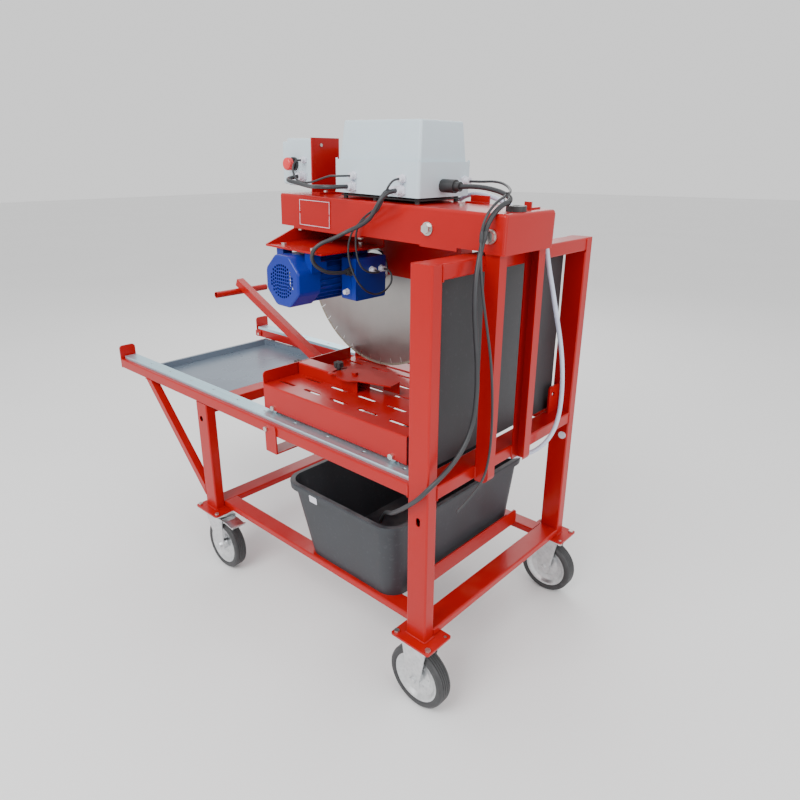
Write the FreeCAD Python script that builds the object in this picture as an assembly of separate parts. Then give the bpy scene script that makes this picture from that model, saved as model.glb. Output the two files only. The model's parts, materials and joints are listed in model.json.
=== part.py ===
import FreeCAD, Part
import math
import os

os.makedirs("parts", exist_ok=True)
Vec = FreeCAD.Vector

# All sizes in mm.  X across the machine (+X is the motor side), Y from the
# operator's end (-Y) to the arm pivot (+Y), Z up, origin on the floor in the
# middle of the footprint.

# steel frame, 70 x 40 tube
halfWidth = 400.0
tubeThin = 40.0
tubeWall = 3.0
legBottom = 246.0
rearLegTop = 1322.0
rearY = (780.0, 850.0)
frontY = (-295.0, -225.0)
beamFront = -905.0
beamLow = 695.0
beamTop = 735.0
lowTubeTop = 271.0
halfBay = halfWidth - tubeThin

# casters
casterX = 377.0
rearCasterY = 817.0
frontCasterY = -255.0
wheelRadius = 100.0
wheelWidth = 50.0
rimRadius = 78.0
axleRadius = 6.0
runningGap = 0.05
trail = 50.0

# sliding table
tableTop = 842.0
tableY = (86.0, 733.0)
tableHalf = 352.0
railTop = 747.0
rollerRadius = 17.5
rollerY = (132.0, 676.0)

# arm, drawn level and then raised to its rest angle about the pivot
pivotY = 868.0
pivotZ = 1372.0
armRest = 1.83
armX = (-39.0, 197.0)
armY = (37.5, 909.2)
armZ = (1327.4, 1427.4)
armSheet = 5.0
lockReach = 203.0

# cutting head (level position of the motor shaft)
shaftY = 223.7
shaftZ = 1184.3
bladeRadius = 360.0
bladeX = (-74.0, -70.0)
guardRadius = 385.0


def box(x, y, z):
    return Part.makeBox(x[1] - x[0], y[1] - y[0], z[1] - z[0], Vec(x[0], y[0], z[0]))


def rod(radius, start, end):
    run = Vec(*end) - Vec(*start)
    return Part.makeCylinder(radius, run.Length, Vec(*start), run)


def ring(outer, inner, start, end):
    return rod(outer, start, end).cut(rod(inner, start, end))


def prism(points, axis, low, high):
    # points lie in the plane square to the axis, in the order of the two other axes
    order = {"x": lambda a, b: Vec(low, a, b), "y": lambda a, b: Vec(a, low, b), "z": lambda a,
        b: Vec(a, b, low)}
    along = {"x": Vec(1, 0, 0), "y": Vec(0, 1, 0), "z": Vec(0, 0, 1)}[axis]
    corners = [order[axis](a, b) for a, b in points]
    outline = Part.makePolygon(corners + [corners[0]])
    return Part.Face(outline).extrude(along * (high - low))


def softened(shape, axis, radius, pick=None):
    # rounds the straight edges that run along one axis
    along = {"x": Vec(1, 0, 0), "y": Vec(0, 1, 0), "z": Vec(0, 0, 1)}[axis]
    edges = []
    for edge in shape.Edges:
        run = edge.Vertexes[-1].Point - edge.Vertexes[0].Point
        if run.Length < 1e-6:
            continue
        if abs(run.dot(along)) < 0.999 * run.Length:
            continue
        if pick is None or pick(edge.CenterOfMass):
            edges.append(edge)
    return shape.makeFillet(radius, edges)


def hollowTube(x, y, z, axis, capTop=0.0):
    outer = softened(box(x, y, z), axis, 5.0)
    spans = {"x": x, "y": y, "z": z}
    inner = {}
    for name, span in spans.items():
        if name == axis:
            inner[name] = (span[0] - 1.0, span[1] + 1.0 - capTop)
        else:
            inner[name] = (span[0] + tubeWall, span[1] - tubeWall)
    return outer.cut(softened(box(inner["x"], inner["y"], inner["z"]), axis, 2.0))


def slot(x, y, z, axis, length, width, depth):
    # a round-ended slot, long in Y, cut along the given axis
    reach = 0.5 * (length - width)
    half = 0.5 * width
    if axis == "z":
        body = box((x - half, x + half), (y - reach, y + reach), (z - depth, z + depth))
        ends = [rod(half, (x, y + s * reach, z - depth), (x, y + s * reach, z + depth)) for s in (-1, 1)]
    else:
        body = box((x - depth, x + depth), (y - half, y + half), (z - reach, z + reach))
        ends = [rod(half, (x - depth, y, z + s * reach), (x + depth, y, z + s * reach)) for s in (-1, 1)]
    return body.fuse(ends[0]).fuse(ends[1])


def hexHead(start, along, across, height):
    spot = Vec(*start)
    facing = Vec(*along)
    radius = across / math.sqrt(3.0)
    side = Vec(0, 0, 1)
    if abs(facing.z) > 0.9:
        side = Vec(1, 0, 0)
    other = facing.cross(side)
    corners = []
    for step in range(6):
        turn = math.radians(60.0 * step)
        corners.append(spot + side * (radius * math.cos(turn)) + other * (radius * math.sin(turn)))
    return Part.Face(Part.makePolygon(corners + [corners[0]])).extrude(facing * height)


def bolt(start, along, radius, shank, headSize=None):
    # the head stands on the start point and the shank runs backwards from it
    facing = Vec(*along)
    size = headSize or radius * 3.2
    head = hexHead(start, along, size, radius * 1.25)
    spot = Vec(*start)
    return head.fuse(rod(radius, tuple(spot), tuple(spot - facing * shank)))


def mirrored(shape):
    return shape.mirror(Vec(0, 0, 0), Vec(1, 0, 0))


def bothSides(shape):
    return [shape, mirrored(shape)]


def raised(shape):
    copy = shape.copy()
    copy.rotate(Vec(0, pivotY, pivotZ), Vec(1, 0, 0), -armRest)
    return copy


def raisedPoint(point):
    # where a point of the level arm lies once the arm is at rest
    turn = math.radians(armRest)
    dy = point[1] - pivotY
    dz = point[2] - pivotZ
    y = pivotY + dy * math.cos(turn) + dz * math.sin(turn)
    z = pivotZ - dy * math.sin(turn) + dz * math.cos(turn)
    return (point[0], y, z)


def cable(name, points, diameter):
    # straight runs joined by arcs tangent to both
    spots = [Vec(*point) for point in points]
    edges = []
    radii = []
    start = spots[0]
    length = 0.0
    for before, corner, after in zip(spots, spots[1:], spots[2:]):
        back = before - corner
        ahead = after - corner
        reach = 0.45 * min(back.Length, ahead.Length)
        back.normalize()
        ahead.normalize()
        halfTurn = 0.5 * (math.pi - back.getAngle(ahead))
        radius = reach / math.tan(halfTurn)
        radii.append(radius)
        first = corner + back * reach
        last = corner + ahead * reach
        inward = back + ahead
        inward.normalize()
        middle = corner + inward * (math.hypot(reach, radius) - radius)
        edges.append(Part.LineSegment(start, first).toShape())
        edges.append(Part.Arc(first, middle, last).toShape())
        start = last
    edges.append(Part.LineSegment(start, spots[-1]).toShape())
    length = sum(edge.Length for edge in edges)
    path = Part.Wire(edges)
    profile = Part.Wire([Part.makeCircle(0.5 * diameter, spots[0], spots[1] - spots[0])])
    shape = path.makePipeShell([profile], True, False)
    expected = length * math.pi * diameter * diameter / 4.0
    smallest = min(radii) if radii else 0.0
    print(name, "length %.0f least radius %.1f volume ratio %.4f" % (length, smallest,
        shape.Volume / expected))
    return Part.Solid(shape) if shape.ShapeType != "Solid" else shape


def gland(spot, along, size):
    # nut against the wall, then a domed cap
    facing = Vec(*along)
    base = hexHead(spot, along, size, size * 0.28)
    tip = Vec(*spot) + facing * (size * 0.28)
    end = tip + facing * (size * 0.55)
    return base.fuse(rod(size * 0.42, tuple(tip), tuple(end)))


def starKnob(spot, along, radius, height):
    # six lobes round a hub
    facing = Vec(*along)
    centre = Vec(*spot)
    side = facing.cross(Vec(0, 0, 1))
    if side.Length < 0.5:
        side = Vec(1, 0, 0)
    other = facing.cross(side)
    low = centre + facing * (height * 0.35)
    high = centre + facing * height
    body = rod(radius * 0.45, tuple(centre), tuple(high))
    body = body.fuse(rod(radius * 0.78, tuple(low), tuple(high)))
    for step in range(6):
        turn = math.radians(60.0 * step)
        shift = (side * math.cos(turn) + other * math.sin(turn)) * (radius * 0.72)
        body = body.fuse(rod(radius * 0.28, tuple(low + shift), tuple(high + shift)))
    return body


def solidsOf(shapes):
    found = []
    for shape in shapes:
        found.extend(shape.Solids)
    return found


def save(name, *shapes):
    solids = solidsOf(shapes)
    part = solids[0] if len(solids) == 1 else Part.makeCompound(solids)
    part.exportStep("parts/" + name + ".step")
    print(name, len(solids), "%.0f" % part.Volume)


def cutAll(shape, tools):
    for tool in tools:
        shape = shape.cut(tool)
    return shape


# frame
rearLegHole = slot(400.0, 818.0, 632.0, "x", 26.0, 14.0, 20.0)
rearLeg = hollowTube((halfBay, halfWidth), rearY, (legBottom, rearLegTop), "z", 5.0)
legPlug = ring(13.0, 4.0, (-halfBay, 832.0, 646.0), (-halfBay + 4.0, 832.0, 646.0))
legPlug = legPlug.fuse(rod(4.0, (-halfBay - tubeWall, 832.0, 646.0), (-halfBay + 4.0, 832.0, 646.0)))
rearLegs = [rearLeg.cut(rearLegHole), mirrored(rearLeg).cut(legPlug)]
save("rear_legs", *rearLegs)
save("leg_plug", legPlug)

frontLeg = hollowTube((halfBay, halfWidth), frontY, (legBottom, beamLow), "z")
frontLegHole = rod(11.0, (390.0, -266.0, 629.0), (410.0, -266.0, 629.0))
save("front_legs", frontLeg.cut(frontLegHole), mirrored(frontLeg))

hangerBolt = bolt((halfWidth + 5.0, 158.0, 714.0), (1, 0, 0), 5.0, 12.0)
hangerBolts = [hangerBolt, mirrored(hangerBolt)]
stopBolt = bolt((324.0, -885.0, 712.0), (-1, 0, 0), 4.0, 12.0)
railStopBolts = [stopBolt, mirrored(stopBolt)]

railX = (332.0, 385.0)
railY = (-897.0, 770.0)
railScrewY = [railY[0] + 37.0 + 159.0 * step for step in range(11)]
railScrews = []
for y in railScrewY:
    screw = rod(6.0, (358.5, y, railTop - 1.5), (358.5, y, railTop - 3.5))
    screw = screw.fuse(rod(3.0, (358.5, y, railTop - 3.5), (358.5, y, beamTop - tubeWall)))
    railScrews.append(screw)
rail = softened(box(railX, railY, (beamTop, railTop)), "y", 1.5, lambda spot: spot.z > railTop - 1)
for y, screw in zip(railScrewY, railScrews):
    rail = rail.cut(rod(6.0, (358.5, y, railTop + 1.0), (358.5, y, railTop - 3.5)))
    rail = rail.cut(screw)
save("guide_rails", *bothSides(rail))
railBolts = []
for screw in railScrews:
    railBolts.extend(bothSides(screw))

beam = hollowTube((330.0, halfWidth), (beamFront, rearY[0]), (beamLow, beamTop), "y")
beam = cutAll(beam, railScrews + [hangerBolt, stopBolt])
beams = [beam, mirrored(beam)]

stopPlate = box((330.0, halfWidth), (beamFront - 6.0, beamFront), (beamLow, 793.0))
stopPlate = softened(stopPlate, "y", 14.0, lambda spot: spot.z > 780.0)
stopLug = box((324.0, 330.0), (beamFront - 6.0, beamFront + 36.0), (700.0, 728.0))
stopPlate = stopPlate.fuse(stopLug).removeSplitter().cut(stopBolt)
save("rail_stops", *bothSides(stopPlate))
save("rail_beams", *beams)

crossbeams = [
    hollowTube((-halfBay, halfBay), rearY, (rearLegTop - tubeThin, rearLegTop), "x"),
    hollowTube((-halfBay, halfBay), rearY, (beamLow, beamTop), "x"),
    hollowTube((-halfBay, halfBay), frontY, (beamLow - tubeThin, beamLow), "x"),
    hollowTube((-halfBay, halfBay), rearY, (legBottom, lowTubeTop), "x"),
    hollowTube((-halfBay, halfBay), frontY, (legBottom, lowTubeTop), "x"),
]
save("crossbeams", *crossbeams)
sideBeam = hollowTube((300.0, halfBay), (frontY[1], rearY[0]), (legBottom, lowTubeTop), "y")
save("low_side_beams", *bothSides(sideBeam))

# struts from the beam's front underside down to the front leg
strutTop = Vec(0, -688.0, beamLow)
strutFoot = Vec(0, frontY[0], 290.0)
strutRun = strutFoot - strutTop
strutWide = 30.0 * strutRun.Length / abs(strutRun.z)
strutTall = 30.0 * strutRun.Length / abs(strutRun.y)
strutPoints = [
    (strutTop.y, beamLow),
    (strutTop.y + strutWide, beamLow),
    (frontY[0], strutFoot.z + strutTall),
    (frontY[0], strutFoot.z),
]
strut = prism(strutPoints, "x", 370.0, halfWidth)
save("diagonal_struts", *bothSides(strut))

# brackets welded or bolted to the frame: hanger strap, tub stop, hook plate
strapSide = box((halfWidth, halfWidth + 5.0), (151.0, 208.0), (634.0, beamTop - 3.0))
strapSide = softened(strapSide, "x", 6.0, lambda spot: spot.z > 700.0)
strapBase = box((-halfWidth, halfWidth), (151.0, 208.0), (634.0, 639.0))
strap = strapSide.fuse(strapBase).fuse(mirrored(strapSide)).removeSplitter()
strap = cutAll(strap, hangerBolts)
tubStop = box((-halfBay + 60.0, halfBay - 60.0), (704.0, 709.0), (lowTubeTop, 328.0))
tubStop = softened(tubStop, "y", 16.0, lambda spot: spot.z > 300.0)
hook = box((-halfBay, -300.0), (796.0, 802.0), (beamTop, 830.0))
hook = softened(hook, "y", 12.0, lambda spot: spot.z > 800.0 and spot.x > -310.0)
hook = hook.cut(rod(8.0, (-325.0, 790.0, 800.0), (-325.0, 810.0, 800.0)))
save("frame_brackets", strap, tubStop, hook)

# drip tray under the rails
trayX = (-325.0, 325.0)
trayY = (-835.0, -299.0)
trayZ = (662.0, 690.0)
tray = box(trayX, trayY, trayZ)
tray = softened(tray, "z", 8.0)
trayHollow = box((trayX[0] + 2.0, trayX[1] - 2.0), (trayY[0] + 2.0, trayY[1] - 2.0),
    (trayZ[0] + 2.0, trayZ[1] + 5.0))
tray = tray.cut(softened(trayHollow, "z", 6.0))
trayLip = box((trayX[0] - 12.0, trayX[1] + 12.0), (trayY[0] - 12.0, trayY[1]), (trayZ[1], trayZ[1] + 2.0))
trayLip = trayLip.cut(box((trayX[0] + 2.0, trayX[1] - 2.0), (trayY[0] + 2.0, trayY[1] - 2.0),
    (trayZ[1] - 5.0, trayZ[1] + 5.0)))
tray = tray.fuse(trayLip).removeSplitter()
trayHangers = []
for y in (-790.0, -560.0, -340.0):
    hanger = box((trayX[1] + 12.0, trayX[1] + 28.0), (y - 12.0, y + 12.0), (trayZ[1] - 1.0, trayZ[1] + 1.0))
    riser = box((trayX[1] + 26.0, trayX[1] + 28.0), (y - 12.0, y + 12.0), (trayZ[1] - 1.0, beamLow))
    trayHangers.append(hanger.fuse(riser))
for hanger in trayHangers:
    tray = tray.fuse(hanger).fuse(mirrored(hanger))
save("tray", tray.removeSplitter())

# mortar tub with a rolled rim
tubLow = [(-305.0, 270.0), (345.0, 270.0), (345.0, 680.0), (-305.0, 680.0)]
tubHigh = [(-335.0, 215.0), (375.0, 215.0), (375.0, 700.0), (-335.0, 700.0)]
tubBottom = lowTubeTop
tubTop = 540.0


def roundedWire(corners, z, radius, grow):
    lowX = min(c[0] for c in corners) - grow
    highX = max(c[0] for c in corners) + grow
    lowY = min(c[1] for c in corners) - grow
    highY = max(c[1] for c in corners) + grow
    slab = softened(box((lowX, highX), (lowY, highY), (z, z + 1.0)), "z", radius)
    faces = sorted(slab.Faces, key=lambda face: face.CenterOfMass.z)
    return faces[0].OuterWire


tubBody = Part.makeLoft([roundedWire(tubLow, tubBottom, 60.0, 0.0),
    roundedWire(tubHigh, tubTop, 60.0, 0.0)], True, True)
tubInner = Part.makeLoft(
    [roundedWire(tubLow, tubBottom + 4.0, 56.0, -4.0), roundedWire(tubHigh, tubTop + 1.0, 56.0, -4.0)],
    True, True)
rimPlate = Part.makeLoft([roundedWire(tubHigh, tubTop - 5.0, 68.0, 12.0),
    roundedWire(tubHigh, tubTop, 66.0, 10.0)], True, True)
rimSkirt = Part.makeLoft([roundedWire(tubHigh, tubTop - 24.0, 66.0, 10.0),
    roundedWire(tubHigh, tubTop - 5.0, 68.0, 12.0)], True, True)
rimSpace = Part.makeLoft([roundedWire(tubHigh, tubTop - 25.0, 63.0, 7.0),
    roundedWire(tubHigh, tubTop - 5.0, 65.0, 9.0)], True, True)
tub = tubBody.fuse(rimPlate).fuse(rimSkirt.cut(rimSpace)).cut(tubInner)
save("tub", tub)

# rubber splash curtain in front of the rear frame
curtain = box((-358.0, 358.0), (770.0, 776.0), (740.0, 1300.0))
save("curtain", curtain)

# pivot
armInner = (armX[0] + armSheet, armX[1] - armSheet)
postOuter = 190.0
centreX = 0.5 * (armX[0] + armX[1])
postZ = (690.0, 1402.0)
postY = (rearY[1], 893.0)
pivotBoltBody = rod(10.0, (armX[0] - 5.5, pivotY, pivotZ), (armX[1] + 5.5, pivotY, pivotZ))
pivotBolt = pivotBoltBody.fuse(hexHead((armX[1] + 5.5, pivotY, pivotZ), (1, 0, 0), 30.0, 12.0))
pivotBolt = pivotBolt.fuse(hexHead((armX[0] - 5.5, pivotY, pivotZ), (-1, 0, 0), 30.0, 14.0))
pivotWashers = ring(18.0, 10.0, (armX[1] + 1.0, pivotY, pivotZ), (armX[1] + 5.5, pivotY, pivotZ))
pivotWashersFar = ring(18.0, 10.0, (armX[0] - 5.5, pivotY, pivotZ), (armX[0] - 1.0, pivotY, pivotZ))
lockPlatePoints = [(634.0, 1352.0), (886.0, 1350.0), (886.0, 1396.0), (700.0, 1424.0), (634.0, 1424.0)]
lockPlate = prism(lockPlatePoints, "x", 180.0, 185.0)
lockSlot = ring(lockReach + 7.0, lockReach - 7.0, (170.0, pivotY, pivotZ), (195.0, pivotY, pivotZ))
wedge = [(pivotY, pivotZ), (pivotY - 260.0, pivotZ - 6.0), (pivotY - 260.0, pivotZ + 58.0)]
lockSlot = lockSlot.common(prism(wedge, "x", 170.0, 195.0))
lockPlate = lockPlate.cut(lockSlot).cut(pivotBoltBody)
lockPlateFar = lockPlate.mirror(Vec(centreX, 0, 0), Vec(1, 0, 0))
save("lock_plates", lockPlate, lockPlateFar)
post = box((postOuter - 33.0, postOuter), postY, postZ)
post = post.cut(box((postOuter - 40.0, postOuter - 4.0), (postY[0] + 4.0, postY[1] - 4.0),
    (postZ[0] - 1.0, postZ[1] + 1.0)))
crown = box((100.0, 200.0), (800.0, 930.0),
    (600.0, pivotZ)).fuse(rod(33.0, (100.0, pivotY, pivotZ), (200.0, pivotY, pivotZ)))
post = post.common(crown)
foot = rod(20.0, (100.0, postY[1] - 20.0, postZ[0] + 20.0), (200.0, postY[1] - 20.0, postZ[0] + 20.0))
corner = box((100.0, 200.0), (postY[1] - 20.0, postY[1] + 1.0), (postZ[0] - 1.0, postZ[0] + 20.0)).cut(foot)
post = post.cut(corner).cut(lockPlate).cut(pivotBoltBody)
postFar = post.mirror(Vec(centreX, 0, 0), Vec(1, 0, 0))
save("pivot_posts", post, postFar)
save("pivot_bolt", pivotBolt, pivotWashers, pivotWashersFar)

# casters
plateZ = (240.0, legBottom)
casterBolts = []
footPlates = []
brackets = []
spots = [(sx * casterX, y) for y in (rearCasterY, frontCasterY) for sx in (1, -1)]
for cx, cy in spots:
    footPlate = softened(box((cx - 55.0, cx + 55.0), (cy - 71.0, cy + 71.0), plateZ), "z", 8.0)
    topPlate = softened(box((cx - 52.0, cx + 52.0), (cy - 68.0, cy + 68.0), (235.0, 240.0)), "z", 12.0)
    for dx in (-40.0, 40.0):
        for dy in (-59.0, 59.0):
            outward = dx * cx > 0
            if outward:
                fastener = bolt((cx + dx, cy + dy, legBottom), (0, 0, 1), 5.0, 12.0, 15.0)
            else:
                fastener = bolt((cx + dx, cy + dy, 235.0), (0, 0, -1), 5.0, 11.0, 15.0)
            casterBolts.append(fastener)
            footPlate = footPlate.cut(fastener)
            topPlate = topPlate.cut(fastener)
    footPlates.append(footPlate)
    brackets.append(topPlate)
save("foot_plates", *footPlates)


def forkSide(cx, inner, outer, shape, axleY):
    side = prism(shape, "x", cx + inner, cx + outer)
    boss = rod(24.0, (cx + inner, axleY, wheelRadius), (cx + outer, axleY, wheelRadius))
    return side.fuse(boss).removeSplitter()


def axleBolt(cx, axleY):
    shaft = rod(axleRadius, (cx - 38.0, axleY, wheelRadius), (cx + 38.0, axleY, wheelRadius))
    head = hexHead((cx + 34.0, axleY, wheelRadius), (1, 0, 0), 19.0, 7.5)
    nut = hexHead((cx - 34.0, axleY, wheelRadius), (-1, 0, 0), 19.0, 8.0)
    return shaft.fuse(head).fuse(nut)


rearForks = []
for cx in (casterX, -casterX):
    axle = axleBolt(cx, rearCasterY)
    outline = [(rearCasterY - 48.0, 235.0), (rearCasterY + 48.0, 235.0), (rearCasterY + 21.0, 90.0),
        (rearCasterY - 21.0, 90.0)]
    for inner, outer in ((30.0, 34.0), (-34.0, -30.0)):
        rearForks.append(forkSide(cx, inner, outer, outline, rearCasterY).cut(axle))
    rearForks.append(axle)
swivelTops = []
for cx in (casterX, -casterX):
    kingpin = rod(8.0, (cx, frontCasterY, 209.0), (cx, frontCasterY, 235.0))
    race = rod(30.0, (cx, frontCasterY, 224.5), (cx, frontCasterY, 235.0))
    nut = hexHead((cx, frontCasterY, 212.0), (0, 0, -1), 19.0, 6.0)
    swivelTops.append(kingpin.fuse(race).fuse(nut))
save("caster_brackets", *(brackets + rearForks + swivelTops))

frontAxleY = frontCasterY + trail
pedalY = frontCasterY + 62.0
pedalZ = 207.0
for label, cx in (("near", casterX), ("far", -casterX)):
    axle = axleBolt(cx, frontAxleY)
    outline = [(frontCasterY - 40.0, 224.0), (frontCasterY + 76.0, 224.0), (frontAxleY + 21.0, 90.0),
        (frontAxleY - 21.0, 90.0)]
    crownPlate = box((cx - 30.0, cx + 30.0), (frontCasterY - 40.0, frontCasterY + 34.0), (219.0, 224.0))
    fork = crownPlate
    for inner, outer in ((30.0, 34.0), (-34.0, -30.0)):
        fork = fork.fuse(forkSide(cx, inner, outer, outline, frontAxleY))
    fork = fork.removeSplitter().cut(axle)
    fork = fork.cut(rod(8.0 + runningGap, (cx, frontCasterY, 200.0), (cx, frontCasterY, 230.0)))
    fork = fork.cut(rod(4.0 + runningGap, (cx - 40.0, pedalY, pedalZ), (cx + 40.0, pedalY, pedalZ)))
    save("front_fork_" + label, fork, axle)
    outlineX = [(pedalY - 6.0, pedalZ + 6.0), (pedalY + 30.0, pedalZ + 12.0),
        (pedalY + 78.0, pedalZ + 4.0), (pedalY + 84.0, pedalZ + 12.0),
                (pedalY + 88.0, pedalZ + 10.0), (pedalY + 80.0, pedalZ - 1.0),
                (pedalY + 30.0, pedalZ + 7.0), (pedalY + 5.0, pedalZ - 1.0), (pedalY - 6.0, pedalZ)]
    pedal = prism(outlineX, "x", cx - 29.0, cx + 29.0)
    pedal = pedal.fuse(rod(4.0, (cx - 36.0, pedalY, pedalZ), (cx + 36.0, pedalY, pedalZ)))
    save("brake_pedal_" + label, pedal.removeSplitter())


def revolved(points, centre):
    # points are (x, radius) turned about the X axis through the centre
    corners = [Vec(centre[0] + x, centre[1], centre[2] + r) for x, r in points]
    face = Part.Face(Part.makePolygon(corners + [corners[0]]))
    return face.revolve(Vec(*centre), Vec(1, 0, 0), 360.0)


def wheel(label, cx, cy):
    centre = (cx, cy, wheelRadius)
    half = 0.5 * wheelWidth
    tyrePoints = [(-half + 3.0, rimRadius), (-half, rimRadius + 6.0), (-half, 92.0), (-half + 4.0, 98.0),
        (-half + 10.0, wheelRadius),
                  (half - 10.0, wheelRadius), (half - 4.0, 98.0), (half, 92.0), (half, rimRadius + 6.0),
                  (half - 3.0, rimRadius)]
    tyre = revolved(tyrePoints, centre)
    for x in (-12.0, -4.0, 4.0, 12.0):
        groove = revolved([(x - 1.0, 97.5), (x + 1.0, 97.5), (x + 1.0, 101.0), (x - 1.0, 101.0)], centre)
        tyre = tyre.cut(groove)
    save("tyre_" + label, tyre)
    bore = axleRadius + runningGap
    rimPoints = [(-29.0, bore), (29.0, bore), (29.0, 17.0), (11.0, 20.0), (7.0, 44.0), (12.0, 62.0),
        (20.0, 72.0), (21.5, rimRadius),
                 (-21.5, rimRadius), (-20.0, 72.0), (-12.0, 62.0), (-7.0, 44.0), (-11.0, 20.0),
                 (-29.0, 17.0)]
    rim = revolved(rimPoints, centre)
    for step in range(6):
        turn = math.radians(60.0 * step)
        ry = cy + 37.0 * math.cos(turn)
        rz = wheelRadius + 37.0 * math.sin(turn)
        rim = rim.fuse(rod(4.0, (cx - 9.5, ry, rz), (cx + 9.5, ry, rz)))
    save("rim_" + label, rim)


wheel("rear_near", casterX, rearCasterY)
wheel("rear_far", -casterX, rearCasterY)
wheel("front_near", casterX, frontAxleY)
wheel("front_far", -casterX, frontAxleY)
save("frame_bolts", *(railBolts + hangerBolts + casterBolts + railStopBolts))

# table
bladeMid = 0.5 * (bladeX[0] + bladeX[1])
tableBottom = 757.0
table = box((-tableHalf, tableHalf), tableY, (tableBottom, tableTop))
table = softened(table, "y", 5.0, lambda spot: spot.z > 800.0)
tableSpace = box((-tableHalf + 4.0, tableHalf - 4.0), (tableY[0] - 1.0, tableY[1] + 1.0),
    (tableBottom - 1.0, tableTop - 4.0))
table = table.cut(tableSpace)
frontPlate = box((-tableHalf + 2.0, tableHalf - 2.0), (tableY[0] - 4.0, tableY[0]), (tableBottom, 884.0))
frontPlate = softened(frontPlate, "y", 14.0, lambda spot: spot.z > 850.0)
table = table.fuse(frontPlate)
longRows = [293.0, 131.5, -153.0, -313.0]
shortRows = [213.0, 53.0, -233.0]
slots = [slot(x, 142.0 + 128.0 * k, tableTop, "z", 80.0, 14.0,
    10.0) for x in longRows + [-27.0] for k in range(5)]
slots += [slot(x, 186.0 + 128.0 * k, tableTop, "z", 80.0, 14.0, 10.0) for x in shortRows for k in range(4)]
table = cutAll(table, slots)
table = table.cut(slot(bladeMid, 410.0, tableTop, "z", 600.0, 18.0, 10.0))
table = table.cut(box((bladeMid - 13.0, bladeMid + 13.0), (tableY[0] - 5.0, tableY[0] + 1.0),
    (tableTop, 890.0)))
rollerBolts = []
rollers = []
for y in rollerY:
    for side in (1, -1):
        z = railTop + rollerRadius
        shank = rod(5.0, (side * 332.0, y, z), (side * 352.0, y, z))
        shank = shank.fuse(hexHead((side * 352.0, y, z), (side, 0, 0), 17.0, 6.5))
        shank = shank.fuse(hexHead((side * 332.0, y, z), (-side, 0, 0), 15.0, 5.0))
        rollerBolts.append(shank)
        lows, highs = sorted((side * 333.0, side * 346.0))
        rollers.append((y, ring(rollerRadius, 5.0 + runningGap, (lows, y, z), (highs, y, z))))
table = cutAll(table, rollerBolts)
save("rollers_front", *[r for y, r in rollers if y == rollerY[0]])
save("rollers_rear", *[r for y, r in rollers if y == rollerY[1]])
save("roller_bolts", *rollerBolts)

# fence: folded channel along the table's near side
fenceX = (140.0, 200.0)
fenceY = (90.0, 385.0)
fenceTop = 884.0
fenceSeat = 1.0
fence = box(fenceX, fenceY, (tableTop - fenceSeat, fenceTop))
fence = softened(fence, "y", 5.0, lambda spot: spot.z > fenceTop - 1.0)
fence = fence.cut(box((fenceX[0] + 4.0, fenceX[1] - 4.0), (fenceY[0] - 1.0, fenceY[1] + 1.0),
    (tableTop - 2.0, fenceTop - 4.0)))
knobSpot = (180.0, tableY[0] - 4.0, 866.0)
fenceEnd = box((fenceX[0] + 4.0, fenceX[1] - 4.0), (fenceY[0], fenceY[0] + 4.0),
    (tableTop - fenceSeat, fenceTop - 4.0))
fence = fence.fuse(fenceEnd).removeSplitter()
fenceStud = rod(5.0 + runningGap, (knobSpot[0], 70.0, knobSpot[2]), (knobSpot[0], 100.0, knobSpot[2]))
fence = fence.cut(fenceStud)
table = table.cut(fenceStud)
seat = box((fenceX[0] - 0.3, fenceX[1] + 0.3), (tableY[0], fenceY[1] + 0.3),
    (tableTop - fenceSeat, tableTop + 1.0))
table = table.cut(seat)
fenceKnob = starKnob((knobSpot[0], knobSpot[1] - 1.0, knobSpot[2]), (0, -1, 0), 18.0, 26.0)
fenceKnob = fenceKnob.fuse(rod(5.0, (knobSpot[0], knobSpot[1] - 1.0, knobSpot[2]),
    (knobSpot[0], 98.0, knobSpot[2])))
save("fence_knob", fenceKnob)

# swivel stop on the fence's rear end
swivelSpot = (170.0, 345.0)
stopZ = (fenceTop + 0.5, fenceTop + 4.5)
swivelStop = rod(62.0, (swivelSpot[0], swivelSpot[1], stopZ[0]), (swivelSpot[0], swivelSpot[1], stopZ[1]))
stopArm = prism([(138.0, 300.0), (226.0, 330.0), (176.0, 512.0), (126.0, 505.0)], "z", stopZ[0], stopZ[1])
stopLip = prism([(126.0, 505.0), (130.0, 505.6), (134.0, 440.0), (130.0, 440.0)], "z", 848.0, stopZ[1])
swivelStop = swivelStop.fuse(stopArm).fuse(stopLip)
arcSlot = ring(83.0, 73.0, (swivelSpot[0], swivelSpot[1], 880.0), (swivelSpot[0], swivelSpot[1], 892.0))
arcSlot = arcSlot.common(prism([swivelSpot, (swivelSpot[0] - 75.0, swivelSpot[1] - 160.0),
    (swivelSpot[0] + 75.0, swivelSpot[1] - 160.0)], "z", 880.0, 892.0))
slotFlange = ring(92.0, 55.0, (swivelSpot[0], swivelSpot[1], stopZ[0]),
    (swivelSpot[0], swivelSpot[1], stopZ[1]))
slotFlange = slotFlange.common(prism([swivelSpot, (swivelSpot[0] - 110.0, swivelSpot[1] - 160.0),
    (swivelSpot[0] + 110.0, swivelSpot[1] - 160.0)], "z", 880.0, 892.0))
swivelStop = swivelStop.fuse(slotFlange).removeSplitter().cut(arcSlot)
swivelHole = rod(6.0 + runningGap, (swivelSpot[0], swivelSpot[1], 870.0),
    (swivelSpot[0], swivelSpot[1], 900.0))
swivelStop = swivelStop.cut(swivelHole)
save("swivel_stop", swivelStop)
swivelBolt = bolt((swivelSpot[0], swivelSpot[1], stopZ[1] + 0.5), (0, 0, 1), 6.0, 10.0)
stopKnobSpot = (swivelSpot[0], swivelSpot[1] - 78.0)
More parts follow.
